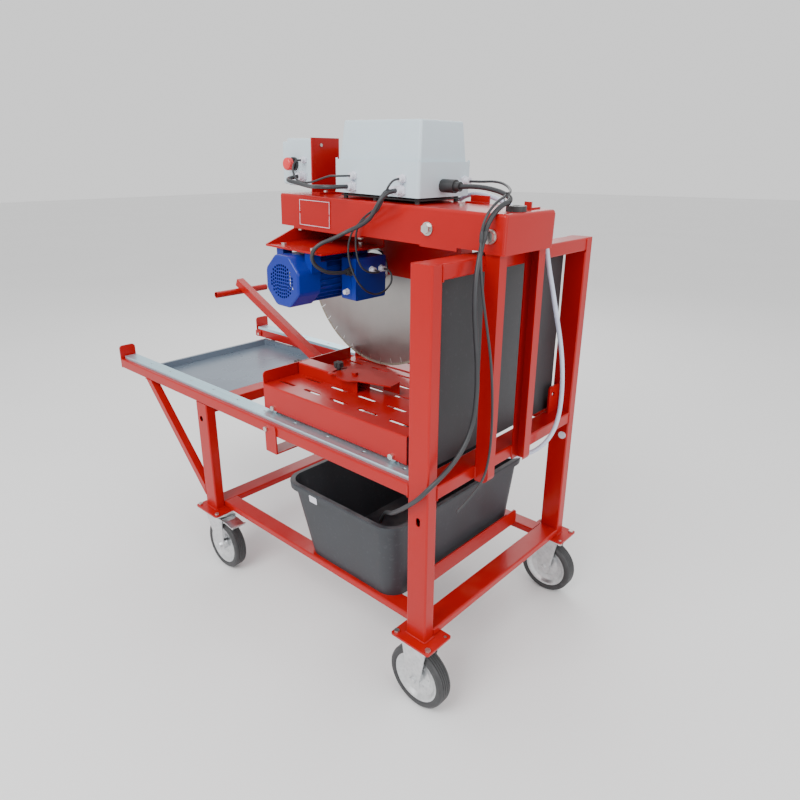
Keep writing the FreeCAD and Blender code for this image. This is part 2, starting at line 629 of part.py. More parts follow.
stopKnob = starKnob((stopKnobSpot[0], stopKnobSpot[1], stopZ[1] + 0.5), (0, 0, 1), 17.0, 26.0)
stopKnob = stopKnob.fuse(rod(4.0, (stopKnobSpot[0], stopKnobSpot[1], 878.0),
    (stopKnobSpot[0], stopKnobSpot[1], stopZ[1] + 1.0)))
save("stop_knob", stopKnob)
fence = fence.cut(swivelBolt)
fence = fence.cut(rod(4.0 + runningGap, (stopKnobSpot[0], stopKnobSpot[1], 870.0),
    (stopKnobSpot[0], stopKnobSpot[1], 890.0)))
save("fence", fence, swivelBolt)
save("cart_table", table.removeSplitter())

# push handle: square tube from the front plate up to a round crossbar
handleX = (65.0, 95.0)
handleLow = Vec(0, tableY[0] - 4.0, 832.0)
handleTop = Vec(0, -423.0, 1079.0)
handleRun = handleTop - handleLow
handleTall = 30.0 * handleRun.Length / abs(handleRun.y)
handleUnit = Vec(handleRun)
handleUnit.normalize()
across = Vec(0, handleUnit.z, -handleUnit.y) * 30.0
handlePoints = [
    (handleLow.y, handleLow.z),
    (handleTop.y, handleTop.z),
    (handleTop.y + across.y, handleTop.z + across.z),
    (handleLow.y, handleLow.z + handleTall),
]
handle = prism(handlePoints, "x", handleX[0], handleX[1])
barY = handleTop.y + 18.0
barZ = handleTop.z - 22.0
crossbar = ring(12.5, 10.5, (-40.0, barY, barZ), (200.0, barY, barZ))
solidBar = rod(12.5, (-40.0, barY, barZ), (200.0, barY, barZ))
save("push_handle", handle.cut(solidBar), crossbar)

# arm
arm = box(armX, armY, armZ)
arm = softened(arm, "y", 8.0, lambda spot: spot.z > armZ[1] - 1.0)
arm = softened(arm, "z", 8.0, lambda spot: spot.y > armY[1] - 1.0)
armSpace = box(armInner, (armY[0] - 1.0, armY[1] - 4.0), (armZ[0] - 1.0, armZ[1] - armSheet))
arm = arm.cut(armSpace)
arm = arm.cut(box((-60.0, 220.0), (765.0, 853.0), (armZ[0] - 1.0, armZ[0] + 5.0)))
for low, high in ((armX[0], armX[0] + armSheet), (armX[1] - armSheet, armX[1])):
    arm = arm.fuse(box((low, high), (639.0, 765.0), (armZ[0] - 4.5, armZ[0])))
lipY = (80.0, 420.0)
for low, high in ((armX[0], armX[0] + 32.0), (armX[1] - 32.0, armX[1])):
    arm = arm.fuse(box((low, high), lipY, (armZ[0], armZ[0] + 5.0)))
arm = arm.removeSplitter()
arm = arm.cut(rod(10.0 + runningGap, (-100.0, pivotY, pivotZ), (300.0, pivotY, pivotZ)))
arm = arm.cut(rod(6.0, (centreX + 100.0, armY[1] - 14.0, armZ[1] - 10.0),
    (centreX + 100.0, armY[1] - 14.0, armZ[1] + 5.0)))
lockBolt = rod(6.0, (armX[0] - 4.0, pivotY - lockReach, pivotZ),
    (armX[1] + 4.0, pivotY - lockReach, pivotZ))
lockBolt = lockBolt.fuse(rod(18.0, (armX[1], pivotY - lockReach, pivotZ),
    (armX[1] + 3.0, pivotY - lockReach, pivotZ)))
lockBolt = lockBolt.fuse(hexHead((armX[1] + 3.0, pivotY - lockReach, pivotZ), (1, 0, 0), 24.0, 10.0))
lockBolt = lockBolt.fuse(hexHead((armX[0], pivotY - lockReach, pivotZ), (-1, 0, 0), 24.0, 12.0))
headBolts = [lockBolt]
plateZoneY = (100.0, 410.0)
bracketTop = armZ[0]
for x in (armX[0] + 16.0, armX[1] - 16.0):
    for y in (116.0, 394.0):
        headBolts.append(bolt((x, y, bracketTop - 6.0), (0, 0, -1), 5.0, 11.0).fuse(
            hexHead((x, y, armZ[0] + 5.0), (0, 0, 1), 16.0, 8.0)))

# motor bracket: flange under the arm, front web, inner web, motor plate
motorPlateZ = shaftZ + 90.0
flange = box(armX, plateZoneY, (bracketTop - 6.0, bracketTop))
frontWeb = prism([(armX[0], bracketTop - 6.0), (armX[1], bracketTop - 6.0), (312.0, motorPlateZ + 6.0),
    (312.0, motorPlateZ), (armX[0], motorPlateZ)],
                 "y", plateZoneY[0], plateZoneY[0] + 6.0)
motorPlate = box((45.0, 312.0), (plateZoneY[0] + 6.0, 366.0), (motorPlateZ, motorPlateZ + 6.0))
innerWeb = box((45.0, 51.0), (plateZoneY[0] + 6.0, 366.0), (motorPlateZ + 6.0, bracketTop - 6.0))
motorBracket = flange.fuse(frontWeb).fuse(motorPlate).fuse(innerWeb).removeSplitter()
for x in (80.0, 282.0):
    for dy in (-70.0, 70.0):
        headBolts.append(bolt((x, shaftY + dy, motorPlateZ + 6.0), (0, 0, 1), 5.0, 16.0))
motorBracket = cutAll(motorBracket, headBolts)

# nameplate with two rivets
plate = box((armX[1], armX[1] + 1.2), (130.0, 280.0), (1332.0, 1418.0))
for y, z in ((137.0, 1375.0), (273.0, 1375.0)):
    plate = plate.fuse(rod(3.0, (armX[1], y, z), (armX[1] + 2.6, y, z)))
save("nameplate", raised(plate.removeSplitter()))

# motor
shaft = (0.0, shaftY, shaftZ)
motorBody = rod(70.0, (58.0, shaftY, shaftZ), (262.0, shaftY, shaftZ))
for step in range(24):
    turn = 360.0 / 24.0 * step
    if 60.0 < turn < 120.0:
        continue
    fin = box((64.0, 256.0), (shaftY + 66.0, shaftY + 78.0), (shaftZ - 1.3, shaftZ + 1.3))
    fin.rotate(Vec(*shaft), Vec(1, 0, 0), turn)
    motorBody = motorBody.fuse(fin)
endShield = rod(80.0, (46.0, shaftY, shaftZ), (60.0, shaftY, shaftZ))
motorBody = motorBody.fuse(endShield)
for x in (80.0, 282.0):
    for side in (-1, 1):
        low, high = sorted((shaftY + side * 52.0, shaftY + side * 84.0))
        footBlock = box((x - 18.0, x + 18.0), (low, high), (shaftZ + 30.0, motorPlateZ))
        if x > 200.0:
            footBlock = footBlock.fuse(box((240.0, x), (low, high), (shaftZ + 30.0, shaftZ + 60.0)))
        motorBody = motorBody.fuse(footBlock)
cowlPoints = []
for step in range(8):
    turn = math.radians(22.5 + 45.0 * step)
    cowlPoints.append((shaftY + 85.5 * math.cos(turn), shaftZ + 85.5 * math.sin(turn)))
cowl = prism(cowlPoints, "x", 262.0, 350.0)
cowl = softened(cowl, "x", 26.0)
frontRing = [edge for edge in cowl.Edges if edge.CenterOfMass.x > 349.0]
cowl = cowl.makeFillet(8.0, frontRing)
cowlSpace = softened(prism([(shaftY + (y - shaftY) * 0.965, shaftZ + (z - shaftZ) * 0.965) for y,
    z in cowlPoints], "x", 261.0, 347.0), "x", 24.0)
cowl = cowl.cut(cowlSpace)
for step in range(-5, 6):
    offset = step * 10.0
    reach = math.sqrt(54.0 * 54.0 - offset * offset)
    cells = max(1, int(2.0 * reach / 10.0))
    for cell in range(cells):
        z = shaftZ - reach + (cell + 0.5) * 2.0 * reach / cells
        cowl = cowl.cut(box((340.0, 355.0), (shaftY + offset - 3.6, shaftY + offset + 3.6),
            (z - 3.6, z + 3.6)))
motorBody = motorBody.cut(prism(cowlPoints, "x", 262.0, 350.0))
motorBody = max(motorBody.Solids, key=lambda solid: solid.Volume)
shaftHole = rod(14.0 + runningGap, (-10.0, shaftY, shaftZ), (130.0, shaftY, shaftZ))
motorBody = motorBody.cut(shaftHole)
motorBody = cutAll(motorBody, headBolts)

# terminal box on the motor's rear side
terminalX = (44.0, 178.0)
terminalY = (shaftY + 85.0, 372.0)
terminalZ = (1120.0, 1252.0)
terminal = softened(box(terminalX, terminalY, terminalZ), "y", 6.0)
neck = box((75.0, 145.0), (shaftY + 60.0, terminalY[0]), (shaftZ - 36.0, shaftZ + 36.0))
motorBody = motorBody.fuse(neck).removeSplitter().cut(shaftHole)
seam = box((0.0, 300.0), (terminalY[1] - 22.0, terminalY[1] - 20.0), (1100.0, 1300.0))
seam = seam.cut(box((terminalX[0] + 2.0, terminalX[1] - 2.0), (0.0, 900.0),
    (terminalZ[0] + 2.0, terminalZ[1] - 2.0)))
terminal = terminal.cut(seam)
for x in (terminalX[0] + 9.0, terminalX[1] - 9.0):
    for z in (terminalZ[0] + 9.0, terminalZ[1] - 9.0):
        terminal = terminal.fuse(rod(4.0, (x, terminalY[1], z), (x, terminalY[1] + 2.5, z)))

save("motor_body", raised(motorBody))
save("fan_cowl", raised(cowl))
save("terminal_box", raised(terminal.removeSplitter()))

# blade, flanges and shaft
bore = 12.5
blade = ring(bladeRadius - 8.0, bore, (bladeX[0] + 0.5, shaftY, shaftZ), (bladeX[1] - 0.5, shaftY, shaftZ))
segments = ring(bladeRadius, bladeRadius - 8.0, (bladeX[0], shaftY, shaftZ), (bladeX[1], shaftY, shaftZ))
blade = blade.fuse(segments)
gaps = []
for step in range(42):
    gap = box((bladeX[0] - 1.0, bladeX[1] + 1.0),
        (shaftY + bladeRadius - 26.0, shaftY + bladeRadius + 2.0), (shaftZ - 1.5, shaftZ + 1.5))
    gap.rotate(Vec(*shaft), Vec(1, 0, 0), 360.0 / 42.0 * step)
    gaps.append(gap)
blade = blade.cut(Part.makeCompound(gaps))
save("blade", raised(blade))
spindle = rod(14.0, (-58.0, shaftY, shaftZ), (120.0, shaftY, shaftZ))
spindle = spindle.fuse(rod(bore, (-98.0, shaftY, shaftZ), (-58.0, shaftY, shaftZ)))
spindle = spindle.fuse(rod(55.0, (bladeX[1], shaftY, shaftZ), (-62.0, shaftY, shaftZ)))
outerFlange = ring(55.0, bore, (-82.0, shaftY, shaftZ), (bladeX[0], shaftY, shaftZ))
spindleNut = hexHead((-82.0, shaftY, shaftZ), (-1, 0, 0), 36.0,
    14.0).cut(rod(bore, (-110.0, shaftY, shaftZ), (-80.0, shaftY, shaftZ)))
save("blade_spindle", raised(spindle.cut(blade)), raised(outerFlange), raised(spindleNut))

# blade guard on the arm's far side: half drum, open below
guardX = (-110.0, -54.0)
guard = rod(guardRadius, (guardX[0], shaftY, shaftZ), (guardX[1], shaftY, shaftZ))
guard = guard.cut(rod(guardRadius - 3.0, (guardX[0] + 3.0, shaftY, shaftZ),
    (guardX[1] - 3.0, shaftY, shaftZ)))
guard = guard.cut(box((-200.0, 0.0), (shaftY - 500.0, shaftY + 500.0), (shaftZ - 500.0, shaftZ - 20.0)))
guard = guard.cut(rod(68.0, (guardX[1] - 4.0, shaftY, shaftZ), (guardX[1] + 4.0, shaftY, shaftZ)))
guard = guard.cut(box((guardX[1] - 4.0, guardX[1] + 4.0), (shaftY - 68.0, shaftY + 68.0),
    (shaftZ - 30.0, shaftZ)))
guardBolts = []
spacers = []
for y in (100.0, 350.0):
    spacer = ring(14.0, 6.0, (guardX[1], y, 1385.0), (armX[0], y, 1385.0))
    spacers.append(spacer)
    fastener = rod(6.0, (guardX[1] - 3.0, y, 1385.0), (armX[0] + armSheet, y, 1385.0))
    fastener = fastener.fuse(hexHead((armX[0] + armSheet, y, 1385.0), (1, 0, 0), 19.0, 8.0))
    fastener = fastener.fuse(hexHead((guardX[1] - 3.0, y, 1385.0), (-1, 0, 0), 19.0, 6.0))
    guardBolts.append(fastener)
headBolts.extend(guardBolts)
guard = cutAll(guard, guardBolts)
arm = cutAll(arm, headBolts)
save("blade_guard", raised(guard), *[raised(spacer) for spacer in spacers])
save("arm", raised(arm))

# electrics
baseX = (-52.0, 180.0)
baseY = (281.0, 614.0)
baseZ = (1445.0, 1531.0)
enclosureBase = softened(box(baseX, baseY, baseZ), "z", 10.0)
enclosureBase = enclosureBase.cut(softened(box((baseX[0] + 3.5, baseX[1] - 3.5),
    (baseY[0] + 3.5, baseY[1] - 3.5), (baseZ[0] + 3.5, baseZ[1] + 1.0)), "z", 7.0))
lidLow = [(baseX[0] + 12.0, baseY[0] + 10.0), (baseX[1] - 10.0, baseY[1] - 8.0)]
lidHigh = [(baseX[0] + 27.0, baseY[0] + 22.0), (baseX[1] - 18.0, baseY[1] - 14.0)]
lidFlange = softened(box((baseX[0], baseX[1]), (baseY[0], baseY[1]), (baseZ[1], baseZ[1] + 7.0)), "z", 10.0)
lidBody = Part.makeLoft([roundedWire(lidLow, baseZ[1] + 7.0, 8.0, 0.0),
    roundedWire(lidHigh, 1645.0, 8.0, 0.0)], True, True)
lidBody = lidBody.makeFillet(6.0, [edge for edge in lidBody.Edges if edge.BoundBox.ZMin > 1644.0])
lidHollow = Part.makeLoft([roundedWire(lidLow, baseZ[1] + 6.0, 6.0, -4.0),
    roundedWire(lidHigh, 1640.0, 6.0, -4.0)], True, True)
lid = lidFlange.fuse(lidBody).cut(lidHollow)
lid = lid.cut(box((baseX[0] + 3.5, baseX[1] - 3.5), (baseY[0] + 3.5, baseY[1] - 3.5),
    (baseZ[1] - 1.0, baseZ[1] + 3.5)))
lidScrews = []
for x in (baseX[0] + 4.5, baseX[1] - 4.5):
    for y in (baseY[0] + 6.0, baseY[1] - 6.0):
        lidScrews.append(rod(3.5, (x, y, baseZ[1] + 7.0), (x, y, baseZ[1] + 11.0)))
save("enclosure_lid", raised(lid), *[raised(screw) for screw in lidScrews])
save("enclosure_base", raised(enclosureBase))
mat = box((-30.0, 165.0), (295.0, 600.0), (armZ[1] + 8.0, armZ[1] + 12.0))
standoffs = []
for x in (-20.0, 155.0):
    for y in (305.0, 430.0, 590.0):
        standoffs.append(rod(7.0, (x, y, armZ[1]), (x, y, armZ[1] + 8.0)))
        standoffs.append(rod(7.0, (x, y, armZ[1] + 12.0), (x, y, baseZ[0])))

# control box at the arm's front end
controlX = (32.0, 137.0)
controlY = (5.0, 123.0)
controlZ = (1449.0, 1596.0)
controlBox = softened(box(controlX, controlY, controlZ), "y", 8.0)
cover = softened(box((controlX[0] + 3.0, controlX[1] - 3.0), (-22.0, controlY[0]),
    (controlZ[0] + 3.0, controlZ[1] - 10.0)), "y", 8.0)
controlBox = controlBox.cut(softened(box((controlX[0] + 4.0, controlX[1] - 4.0),
    (controlY[0] - 1.0, controlY[1] - 4.0), (controlZ[0] + 4.0, controlZ[1] - 4.0)), "y", 5.0))
buttonY = 40.0
buttonZ = 1517.0
buttonHole = rod(9.0 + runningGap, (controlX[1] - 12.0, buttonY, buttonZ),
    (controlX[1] + 30.0, buttonY, buttonZ))
controlBox = controlBox.cut(buttonHole)
collar = ring(21.0, 9.0 + runningGap, (controlX[1], buttonY, buttonZ),
    (controlX[1] + 9.0, buttonY, buttonZ))
collar = collar.fuse(ring(16.0, 9.0 + runningGap, (controlX[1] + 9.0, buttonY, buttonZ),
    (controlX[1] + 14.0, buttonY, buttonZ)))
mushroom = rod(20.0, (controlX[1] + 20.0, buttonY, buttonZ), (controlX[1] + 37.0, buttonY, buttonZ))
mushroom = mushroom.makeFillet(7.0,
    [edge for edge in mushroom.Edges if edge.BoundBox.XMin > controlX[1] + 36.0])
mushroom = mushroom.fuse(rod(9.0, (controlX[1] - 3.0, buttonY, buttonZ),
    (controlX[1] + 20.0, buttonY, buttonZ)))
save("control_box", raised(controlBox), raised(cover))
save("estop_button", raised(mushroom))

# red plate that carries the control box, with its foot on the arm
bracketPlate = box((20.0, 137.0), (controlY[1], controlY[1] + 6.0), (armZ[1], 1598.0))
bracketFoot = box((20.0, 137.0), (controlY[1] + 6.0, controlY[1] + 40.0), (armZ[1], armZ[1] + 6.0))
controlPlate = bracketPlate.fuse(bracketFoot).removeSplitter()
hoseLug = box((-36.0, -4.0), (636.0, 700.0), (armZ[1], armZ[1] + 22.0))
hoseLug = hoseLug.cut(box((-30.0, 0.0), (630.0, 710.0), (armZ[1] + 5.0, armZ[1] + 30.0)))
tieLug = box((-20.0, 30.0), (852.0, 872.0), (armZ[1], armZ[1] + 20.0)).cut(
    box((-30.0, 24.0), (850.0, 880.0), (armZ[1] + 5.0, armZ[1] + 30.0)))
save("arm_brackets", raised(motorBracket), raised(controlPlate), raised(hoseLug), raised(tieLug))
topScrews = []
for x, y in ((100.0, 150.0), (50.0, 150.0)):
    topScrews.append(hexHead((x, y, armZ[1] + 6.0), (0, 0, 1), 13.0, 5.0))
topScrews.append(hexHead((100.0, controlY[1] + 6.0, 1576.0), (0, 1, 0), 10.0, 4.0))
topScrews.append(hexHead((100.0, 700.0, armZ[1]), (0, 0, 1), 13.0, 6.0))
save("head_bolts", *[raised(item) for item in headBolts + topScrews])

# cable glands
wallX = baseX[1]
wallY = baseY[1]
glandSpots = [
    ((wallX, 366.0, 1494.0), (1, 0, 0), 22.0),
    ((wallX, 361.0, 1464.0), (1, 0, 0), 30.0),
    ((wallX, 558.0, 1494.0), (1, 0, 0), 22.0),
    ((wallX, 553.0, 1463.0), (1, 0, 0), 30.0),
    ((wallX, 520.0, 1463.0), (1, 0, 0), 18.0),
    ((-21.0, wallY, 1486.0), (0, 1, 0), 26.0),
    ((controlX[1], 92.0, 1530.0), (1, 0, 0), 20.0),
    ((controlX[1], 84.0, 1480.0), (1, 0, 0), 30.0),
    ((110.0, terminalY[1], 1212.0), (0, 1, 0), 20.0),
    ((68.0, terminalY[1], 1212.0), (0, 1, 0), 20.0),
    ((terminalX[1], 336.0, 1146.0), (1, 0, 0), 18.0),
]
glandBodies = [raised(gland(*spot)) for spot in glandSpots]
save("glands", *glandBodies)
connector = rod(18.0, (76.0, wallY, 1476.0), (76.0, wallY + 46.0, 1476.0))
connector = connector.fuse(rod(13.0, (76.0, wallY + 46.0, 1476.0), (76.0, wallY + 62.0, 1476.0)))
motorPlug = gland((terminalX[1], 352.0, 1212.0), (1, 0, 0), 26.0)
bushing = ring(26.0, 10.0, (100.0, 872.0, armZ[1]), (100.0, 872.0, armZ[1] + 14.0))
barbTurn = math.radians(36.0)
barbFoot = (-82.0, shaftY + guardRadius * math.cos(barbTurn), shaftZ + guardRadius * math.sin(barbTurn))
barbEnd = (-82.0, shaftY + (guardRadius + 24.0) * math.cos(barbTurn),
    shaftZ + (guardRadius + 24.0) * math.sin(barbTurn))
barb = rod(7.0, barbFoot, barbEnd).cut(rod(guardRadius, (-120.0, shaftY, shaftZ), (-50.0, shaftY, shaftZ)))
fittings = standoffs + [collar, connector, motorPlug, bushing, barb]
fittingBodies = [raised(item) for item in fittings]
save("black_fittings", raised(mat), *fittingBodies)


def trimmed(lead):
    # a lead ends flush with the gland or fitting that it leaves
    for body in glandBodies + fittingBodies:
        if body.BoundBox.intersect(lead.BoundBox):
            lead = lead.cut(body)
    return max(lead.Solids, key=lambda solid: solid.Volume)


# cables
def glandTip(index):
    spot, along, size = glandSpots[index]
    reach = size * 0.83
    return raisedPoint((spot[0] + along[0] * reach, spot[1] + along[1] * reach, spot[2] + along[2] * reach))


def turnOut(tip, side, scale, drop=0.0):
    # a lead leaves its gland along X and turns a quarter of a circle towards Y
    offsets = [(0.0, 0.0), (29.0, 0.0), (52.0, 12.6), (64.0, 36.0), (63.0, 67.0)]
    return [(tip[0] + scale * a, tip[1] + side * scale * b, tip[2] - drop * n) for n,
        (a, b) in enumerate(offsets)]


controlThick = turnOut(glandTip(7), 1.0, 1.0, 4.0) + [(232.0, 205.0, 1482.0), (248.0, 253.0, 1479.0)]
controlThick += list(reversed(turnOut(glandTip(1), -1.0, 1.0)))
controlThin = [glandTip(6), (170.0, 97.0, 1554.0), (184.0, 99.0, 1546.0), (192.0, 102.0, 1530.0),
    (194.0, 108.0, 1512.0),
               (197.0, 124.0, 1497.0), (203.0, 148.0, 1490.0), (210.0, 185.0, 1488.0),
               (220.0, 235.0, 1492.0), (232.0, 285.0, 1502.0)]
controlThin += list(reversed(turnOut(glandTip(0), -1.0, 0.62)))
motorTip = raisedPoint((terminalX[1] + 26.0 * 0.83, 352.0, 1212.0))
motorThick = [glandTip(3), (233.0, 557.0, 1471.0), (252.0, 552.0, 1459.0), (262.0, 543.0, 1438.0),
    (261.0, 526.0, 1416.0),
              (250.0, 500.0, 1398.0), (238.0, 458.0, 1379.0), (244.0, 408.0, 1360.0),
              (275.0, 382.0, 1340.0),
              (308.0, 359.0, 1326.0), (325.0, 344.0, 1309.0), (326.0, 334.0, 1283.0),
              (309.0, 331.0, 1258.0),
              (275.0, 340.0, 1236.0), (238.0, 346.0, 1230.0), motorTip]
motorThin = [glandTip(2), (218.0, 561.0, 1501.0), (231.0, 556.0, 1488.0), (235.0, 547.0, 1468.0),
    (230.0, 530.0, 1444.0),
             (222.0, 506.0, 1420.0), (219.0, 475.0, 1402.0), (222.0, 438.0, 1386.0), (226.0, 408.0, 1362.0),
             (228.0, 391.0, 1327.0), (228.0, 386.0, 1288.0), (220.0, 390.0, 1249.0), (202.0, 395.0, 1208.0),
             (170.0, 399.0, 1172.0), (126.0, 402.0, 1154.0), (88.0, 408.0, 1163.0), (68.0, 416.0, 1188.0),
             (66.0, 414.0, 1212.0), (67.0, 402.0, 1225.0), glandTip(9)]
boxThin = [glandTip(4), (210.0, 522.0, 1472.0), (220.0, 516.0, 1458.0), (219.0, 502.0, 1438.0),
    (211.0, 482.0, 1421.0),
           (208.0, 450.0, 1406.0), (209.0, 420.0, 1385.0), (210.0, 404.0, 1352.0), (209.0, 400.0, 1312.0),
           (204.0, 402.0, 1274.0), (190.0, 406.0, 1245.0), (164.0, 411.0, 1230.0), (138.0, 414.0, 1226.0),
           (119.0, 411.0, 1226.0), (110.5, 399.0, 1227.0), glandTip(8)]
feedTip = raisedPoint((76.0, wallY + 62.0, 1476.0))
feedUpper = [feedTip, (77.0, 720.0, 1484.0), (80.0, 770.0, 1481.0), (88.0, 820.0, 1472.0),
    (104.0, 858.0, 1460.0),
             (135.0, 876.0, 1452.0), (172.0, 880.0, 1447.0), (205.0, 878.0, 1428.0),
             (222.0, 872.0, 1400.0), (226.0, 868.0, 1377.0)]
floatUpper = [glandTip(5), (-20.0, 682.0, 1493.0), (-8.0, 725.0, 1495.0), (14.0, 768.0, 1493.0),
    (44.0, 808.0, 1486.0),
              (78.0, 840.0, 1478.0), (114.0, 862.0, 1472.0), (152.0, 873.0, 1466.0), (190.0, 876.0, 1455.0),
              (220.0, 874.0, 1434.0), (236.0, 870.0, 1405.0), (239.0, 868.0, 1378.0)]
headLeads = [
    ("control_thick", controlThick, 12.0),
    ("control_thin", controlThin, 6.0),
    ("motor_thick", motorThick, 12.0),
    ("motor_thin", motorThin, 6.0),
    ("box_thin", boxThin, 6.0),
    ("feed_upper", feedUpper, 13.0),
    ("float_upper", floatUpper, 7.0),
]
headSolids = []
for name, points, diameter in headLeads:
    headSolids.append(trimmed(cable(name, points, diameter)))
save("head_cables", *headSolids)
hoseUpper = [raisedPoint(barbEnd), (-81.0, 580.0, 1449.0), (-78.0, 614.0, 1457.0), (-74.0, 656.0, 1456.0),
    (-70.0, 702.0, 1446.0),
             (-68.0, 748.0, 1429.0), (-68.0, 794.0, 1408.0), (-69.0, 834.0, 1390.0), (-70.0, 862.0, 1377.0)]
save("head_hose", trimmed(cable("hose_upper", hoseUpper, 14.0)))

# leads and hose that hang free behind the frame and end in the tub
feedLower = [(227.0, 867.0, 1371.0), (247.0, 872.0, 1332.0), (268.0, 878.0, 1280.0),
    (275.0, 882.0, 1212.0), (266.0, 884.0, 1138.0),
             (253.0, 884.0, 1060.0), (248.0, 884.0, 980.0), (256.0, 884.0, 905.0), (285.0, 883.0, 848.0),
             (328.0, 880.0, 808.0),
             (374.0, 874.0, 780.0), (411.0, 862.0, 754.0), (423.0, 836.0, 718.0), (420.0, 795.0, 680.0),
             (411.0, 748.0, 641.0),
             (384.0, 704.0, 607.0), (345.0, 656.0, 574.0), (306.0, 604.0, 532.0), (276.0, 560.0, 472.0)]
floatLower = [(240.0, 868.0, 1371.0), (252.0, 878.0, 1322.0), (258.0, 892.0, 1246.0),
    (246.0, 900.0, 1168.0), (226.0, 903.0, 1088.0),
              (209.0, 903.0, 1005.0), (200.0, 903.0, 925.0), (197.0, 903.0, 850.0), (203.0, 903.0, 780.0),
              (222.0, 902.0, 724.0),
              (262.0, 894.0, 686.0), (316.0, 884.0, 654.0)]
save("pump_cable", cable("feed_lower", feedLower, 13.0), cable("float_lower", floatLower, 7.0))
hoseLower = [(-70.0, 865.0, 1371.0), (-73.0, 871.0, 1324.0), (-84.0, 878.0, 1264.0),
    (-106.0, 884.0, 1198.0), (-136.0, 884.0, 1130.0),
             (-169.0, 884.0, 1060.0), (-198.0, 884.0, 985.0), (-217.0, 884.0, 910.0),
             (-224.0, 884.0, 835.0), (-217.0, 884.0, 768.0),
             (-191.0, 880.0, 716.0), (-150.0, 866.0, 680.0), (-110.0, 836.0, 658.0),
             (-84.0, 796.0, 648.0), (-76.0, 748.0, 640.0),
             (-70.0, 700.0, 616.0), (-65.0, 655.0, 576.0), (-61.0, 612.0, 524.0), (-58.0, 575.0, 468.0)]
save("pump_hose", cable("hose_lower", hoseLower, 14.0))
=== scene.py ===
import bpy
import json
import math
from mathutils import Matrix, Vector


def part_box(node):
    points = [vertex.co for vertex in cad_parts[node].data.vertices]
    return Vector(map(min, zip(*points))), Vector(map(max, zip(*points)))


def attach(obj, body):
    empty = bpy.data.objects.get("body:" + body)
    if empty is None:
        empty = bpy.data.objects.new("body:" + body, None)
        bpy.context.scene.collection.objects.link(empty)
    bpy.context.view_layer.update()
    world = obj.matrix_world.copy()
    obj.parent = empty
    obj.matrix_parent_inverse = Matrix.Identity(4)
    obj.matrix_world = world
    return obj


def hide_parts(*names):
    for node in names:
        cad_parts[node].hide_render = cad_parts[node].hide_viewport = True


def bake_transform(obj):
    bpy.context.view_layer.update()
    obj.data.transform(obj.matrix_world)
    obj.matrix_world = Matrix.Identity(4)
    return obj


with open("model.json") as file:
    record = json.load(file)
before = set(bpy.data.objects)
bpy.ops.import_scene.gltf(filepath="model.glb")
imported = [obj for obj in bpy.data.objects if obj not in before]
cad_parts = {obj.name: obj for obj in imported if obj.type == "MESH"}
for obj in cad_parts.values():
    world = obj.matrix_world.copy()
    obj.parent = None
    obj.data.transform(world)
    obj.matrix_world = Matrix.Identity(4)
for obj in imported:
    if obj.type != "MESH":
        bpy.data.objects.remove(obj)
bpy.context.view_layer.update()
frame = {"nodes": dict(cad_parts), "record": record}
nodes = frame["nodes"]
bpy.ops.object.select_all(action="DESELECT")
print("frame loaded with", len(nodes), "nodes")


class Wire:
    # a shader socket that can be used in a sum
    def __init__(self, tree, socket):
        self.tree = tree
        self.socket = socket

    def work(self, operation, *values):
        node = self.tree.nodes.new("ShaderNodeMath")
        node.operation = operation
        for place, value in enumerate(values):
            join(self.tree, value, node.inputs[place])
        return Wire(self.tree, node.outputs[0])

    def __add__(self, other):
        return self.work("ADD", self, other)

    def __radd__(self, other):
        return self.work("ADD", other, self)

    def __sub__(self, other):
        return self.work("SUBTRACT", self, other)

    def __rsub__(self, other):
        return self.work("SUBTRACT", other, self)

    def __mul__(self, other):
        return self.work("MULTIPLY", self, other)

    def __rmul__(self, other):
        return self.work("MULTIPLY", other, self)

    def __gt__(self, other):
        return self.work("GREATER_THAN", self, other)

    def root(self):
        return self.work("SQRT", self)


def join(tree, value, socket):
    if isinstance(value, Wire):
        tree.links.new(value.socket, socket)
    else:
        socket.default_value = value


def paint(colour):
    return (colour[0], colour[1], colour[2], 1.0)


